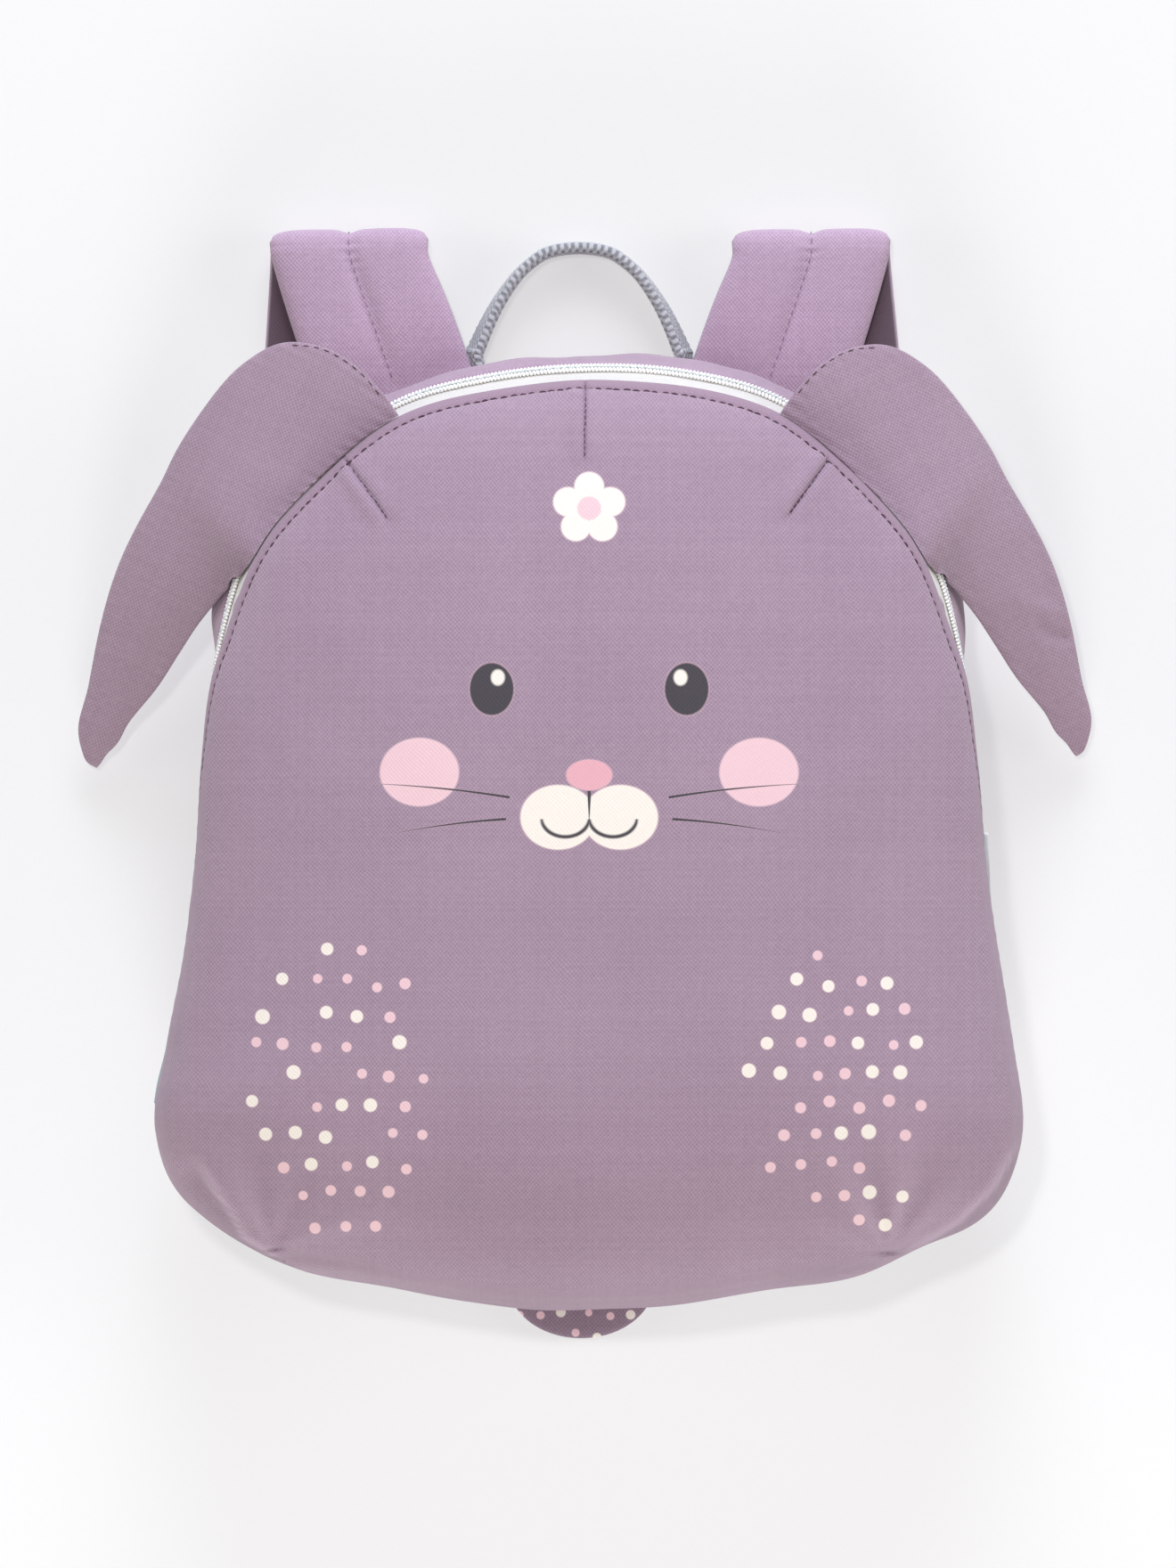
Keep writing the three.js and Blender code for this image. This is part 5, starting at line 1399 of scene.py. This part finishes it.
def make_strap(hand, side, root_out, fold_out, end_out, cloth, seam):
    """A padded strap, folded over above the bag, with a stitched channel along its middle."""
    root, fold, end, inward = strap_line(side, root_out, fold_out, end_out)
    outward = unit(fold - root)
    wide = unit(lerp(across_of(outward), -across_of(inward), 0.8))
    rows = []
    up = np.array([0, 0, 1.0])

    def add(at, z, across, face, thick, width=STRAP_WIDTH):
        at = at.copy()
        at[2] = z
        rows.append((at, across, face, width, thick))

    for share, thicken, turn in ((0, 0, 0), (0.15, 0, 0), (0.3, 0, 0), (0.42, 0.15, 0), (0.52, 0.55, 0.1),
                                 (0.66, 0.9, 0.3), (0.8, 1, 0.6), (0.95, 1, 0.95)):
        thick = lerp(STRAP_END_THICK, STRAP_THICK, thicken)
        add(lerp(root, fold, share), STRAP_THICK + LAYER_GAP + thick / 2,
            unit(lerp(across_of(outward), wide, turn)), up, thick)
    beyond = np.array([-wide[1], wide[0], 0])
    for degrees in (60, 20, -20, -60):
        angle = math.radians(degrees)
        face = beyond * math.cos(angle) + np.array([0, 0, math.sin(angle)])
        reach = (STRAP_THICK + LAYER_GAP) / 2
        at = fold + face * reach + beyond * 1.0
        rows.append((np.array([at[0], at[1], STRAP_THICK + LAYER_GAP / 2 + face[2] * reach]), wide, face,
                     STRAP_WIDTH, STRAP_THICK))
    for share in (0.03, 0.12, 0.25, 0.4, 0.5, 0.6, 0.75, 0.9, 1):
        width = lerp(STRAP_WIDTH, WEBBING_WIDTH + 8, (share - 0.9) * 10) if share > 0.9 else STRAP_WIDTH
        add(lerp(fold, end, share), STRAP_THICK / 2, -across_of(inward), -up, STRAP_THICK, width)
    mid, out, normal, width, thick = stations(rows, 330)
    run = path_length(mid)
    w = np.linspace(-1, 1, 35)
    w = 0.35 * np.sin(w * math.pi / 2) + 0.65 * w

    def section(i):
        puff = 0.5 + 0.5 * smooth(STRAP_END_THICK, STRAP_THICK, thick[i])
        dent = 0.05 * math.sin(run[i] * 2 * math.pi / 2.6)
        channel = (0.34 + dent) * puff * ridge(w, 0.10)
        edge = np.clip(1 - np.abs(w) ** 9, 0, 1) ** 0.5
        half = 0.5 * edge * (0.86 + 0.14 * np.abs(np.sin(math.pi * w)) ** 0.7) - channel * 0.5
        half[[0, -1]] = 0
        return np.concatenate([w, w[-2:0:-1]]), np.concatenate([half, -half[-2:0:-1]])

    loops = []
    for i in range(len(mid)):
        across, high = section(i)
        level = mid[i] + np.outer(across * (width[i] / 2), out[i])
        loops.append(level + np.outer(high * thick[i], normal[i]))
    around = len(loops[0])
    # The inward half of each section gets painted shade, for the shade inside the fold
    painted_inner_shade = np.tile(np.arange(around) > around // 2, len(loops))
    piece = new_piece(
        f"padded_strap_{hand}", np.vstack(loops), closed_tube_faces(len(loops), around), cloth,
        values={"painted_inner_shade": painted_inner_shade})
    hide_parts(f"shoulder_strap_{hand}")
    starts, ends, ups = [], [], []
    visible = (run > 34) & (run < run[np.argmax(mid[:, 1])] + 60)
    for d in np.arange(run[visible][0], run[visible][-1], 2.6):
        a, b = (np.array([np.interp(x, run, mid[:, k]) for k in range(3)]) for x in (d - 0.85, d + 0.85))
        up = unit(np.array([np.interp(d, run, normal[:, k]) for k in range(3)]))
        high = up * (np.interp(d, run, thick) * 0.36)
        starts.append(a + high), ends.append(b + high), ups.append(up)
    stitches(
        f"strap_stitching_{hand}", np.array(starts), np.array(ends), np.array(ups), 0.3, seam)


def make_webbing_band(name, path, pitch, finish, node, columns):
    """Woven webbing with raised picks in a checker."""
    mid, out, normal, width, thick = path
    run = path_length(mid)
    w = np.linspace(-1, 1, columns + 1)
    edge = np.clip(1 - np.abs(w) ** 8, 0, 1) ** 0.5
    loops, picks = [], []
    for i in range(len(mid)):
        rise = math.sin(run[i] * math.pi / pitch)
        checks = rise * np.sin((w + 1) / 2 * math.pi * width[i] / pitch)
        flat = mid[i] + out[i] * (w * width[i] / 2)[:, None]
        top = flat + normal[i] * (0.5 * edge * thick[i] * (1 + 0.16 * checks))[:, None]
        low = flat - normal[i] * (0.5 * edge * thick[i] * (1 - 0.16 * checks))[:, None]
        pick = smooth(-0.3, 0.3, checks)
        pick[[0, -1]] = 0.5 + 0.5 * np.sign(rise)
        loops.append(np.vstack([top, low[-2:0:-1]]))
        picks.append(np.concatenate([pick, 1 - pick[-2:0:-1]]))
    piece = new_piece(
        name, np.vstack(loops), closed_tube_faces(len(loops), len(loops[0])), finish,
        values={"pick": np.concatenate(picks)})
    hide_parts(node)


def make_handle(finish):
    """The webbing loop, sewn on flat behind the top of the bag and turned on edge where it stands out."""
    top = HALF_HEIGHT
    arch = top + (OUTLINE[0][4] + OUTLINE[0][5]) * DEPTH
    flat_z = STRAP_THICK + LAYER_GAP - SEAM_GAP - HANDLE_THICK / 2
    edge_z = HANDLE_WIDTH / 2 + SEAM_GAP
    rows = []

    def add(x, y, z, twist, facing):
        turn = math.radians(twist)
        up = facing * math.cos(turn) + np.array([0, 0, math.sin(turn)])
        along = np.array([-facing[1], facing[0], 0])
        at = np.array([HANDLE_OFFSET + x * HANDLE_SPAN / 2, y, z])
        rows.append((at, np.cross(along, up), up, HANDLE_WIDTH, HANDLE_THICK))

    def leg(sign):
        return (
            (sign, top - 13, flat_z, 90), (sign, top - 5, flat_z, 90),
            (sign, top - 1, lerp(flat_z, edge_z, 0.3), 78), (sign, top + 2.5, lerp(flat_z, edge_z, 0.8), 45),
            (sign, arch, edge_z, 20))

    for row in leg(-1):
        add(*row, np.array([-1.0, 0, 0]))
    for turn in np.linspace(165, 15, 13):
        x = math.cos(math.radians(turn))
        y = arch + HANDLE_HEIGHT * (1 - abs(x) ** HANDLE_SQUARE)
        slope = HANDLE_SQUARE * abs(x) ** (HANDLE_SQUARE - 1) * HANDLE_HEIGHT / (HANDLE_SPAN / 2)
        add(x, y, edge_z, 20 * abs(x) ** 3, unit(np.array([math.copysign(slope, x), 1, 0])))
    for row in leg(1)[::-1]:
        add(*row, np.array([1.0, 0, 0]))
    make_webbing_band("woven_handle", stations(rows, 460), 1.05, finish, "grab_handle", 28)


def make_strap_webbing(hand, side, root_out, fold_out, end_out, webbing_out, finish):
    """The webbing from a strap's adjuster to the lower corner of the back."""
    _, _, end, inward = strap_line(side, root_out, fold_out, end_out)
    start = end + inward * (BUCKLE_LENGTH + 2 * SEAM_GAP)
    low = np.array([side * webbing_out * HALF_WIDTH, WEBBING_END_UP * HALF_HEIGHT, 0])
    line = unit(low - start)
    end_z = BACK_Z - SEAM_GAP - WEBBING_THICK / 2
    rows = []
    for share, high in ((0, 0), (0.1, 0), (0.2, 0.02), (0.32, 0.1), (0.45, 0.28), (0.58, 0.55), (0.7, 0.8),
                        (0.85, 1), (1, 1)):
        at = lerp(start, low, share)
        at[2] = lerp(STRAP_THICK / 2, end_z, high)
        across = across_of(lerp(inward, line, min(1, share * 3)))
        rows.append((at, across, np.array([0, 0, 1.0]), WEBBING_WIDTH, WEBBING_THICK))
    make_webbing_band(
        f"woven_webbing_{hand}", stations(rows, 130), 1.2, finish, f"webbing_{hand}", 40)


def make_back(finish):
    """The padded back panel, with a rounded edge and two channels sewn across it."""
    t = np.linspace(0, 2, 300, endpoint=False)
    x, y, nx, ny, row = edge_at(t)
    inset = row[4] + WALL + SEAM_GAP
    rim = np.stack([x - inset * nx, y - inset * ny], -1)
    centre = np.array([0.0, -10.0])
    shares = np.concatenate([[0, 0.008, 0.02, 0.04, 0.07], np.linspace(0.1, 1, 34)])
    grid = lerp(rim[:, None], centre, shares[None, :, None])
    inward = shares[None, :] * np.linalg.norm(rim - centre, axis=1)[:, None]
    edge = np.sqrt(np.clip(1 - (1 - np.clip(inward / 2.0, 0, 1)) ** 2, 0, 1))
    flat = np.concatenate([grid, np.zeros((*grid.shape[:2], 1))], -1)
    channel = sum(ridge(grid[..., 1] - up, 2.2) for up in (42, -38)) * smooth(14, 20, inward)
    channel = channel + ridge(inward - 16, 1.8)
    uneven = 0.15 * (1 + ripple(flat, 40, 77))
    bottom = BACK_Z + BACK_PAD / 2 * (1 - edge) + (0.9 * channel + uneven) * edge
    top = BACK_Z + BACK_PAD / 2 * (1 + edge) - 0.1
    low, high = np.dstack([grid, bottom]), np.dstack([grid, top])
    low[:, -1], high[:, -1] = low[:, -1].mean(0), high[:, -1].mean(0)
    rows, wide = low.shape[0], low.shape[1] - 1
    points = np.vstack([low[:, :-1].reshape(-1, 3), high[:, :-1].reshape(-1, 3), low[0, -1], high[0, -1]])
    base = rows * wide
    faces = [*grid_faces(rows, wide, True, 0, True), *grid_faces(rows, wide, True, base)]
    for i in range(rows):
        n = (i + 1) % rows
        faces.append([i * wide, n * wide, base + n * wide, base + i * wide])
        faces.append([n * wide + wide - 1, i * wide + wide - 1, 2 * base])
        faces.append([base + i * wide + wide - 1, base + n * wide + wide - 1, 2 * base + 1])
    piece = new_piece("padded_back", points + SHIFT * (1, 1, 0), faces, finish)
    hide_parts("back_panel")


make_floor()
plum = thread("plum thread", (84, 60, 74))
soft_thread = thread("lilac thread", (150, 124, 148))
pale = thread("grey zip thread", (212, 222, 222))
plain = lilac_cloth("lilac cloth", shade=1.0)
# The strap cloth paints shade on its inward face
strap_cloth = lilac_cloth("lilac strap cloth", shade=1.34, cool=1.04, inner_face_shaded=True)
hull = bag_hull()
front, around_hem, hem_grid, from_hem = make_front()
make_hem_stitches(around_hem, hem_grid, from_hem, plum)
make_dart_stitches(front, plum)
# The top wall's cloth is painted lighter, for the light from above the top
make_walls(plain, lilac_cloth("lilac cloth painted lighter on top", shade=1.14))
# The coil's glow is painted light that lifts the shade between its pellets
make_zip(zip_cloth(), moulded("white coil", (250, 248, 245), 0.38, glow=0.03), pale)
make_label(label_cloth())
for ear in EARS:
    make_ear(*ear, hull, plum)
make_tail(hull)
grey = grey_webbing("grey webbing", 1.1)
make_handle(grey)
for hand, side, root_out, fold_out, end_out, webbing_out in STRAPS:
    make_strap(hand, side, root_out, fold_out, end_out, strap_cloth, soft_thread)
    make_strap_webbing(hand, side, root_out, fold_out, end_out, webbing_out, grey)
make_back(mesh_cloth())
for name, material in (
        ("zip_slider", moulded("white painted metal", (238, 240, 242), 0.35)),
        ("zip_pull", moulded("white pull rubber", (236, 238, 240), 0.6)),
        ("adjuster_left", moulded("grey acetal", (128, 129, 134), 0.45)),
        ("adjuster_right", moulded("grey acetal right", (128, 129, 134), 0.45))):
    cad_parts[name].data.materials.clear()
    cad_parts[name].data.materials.append(material)
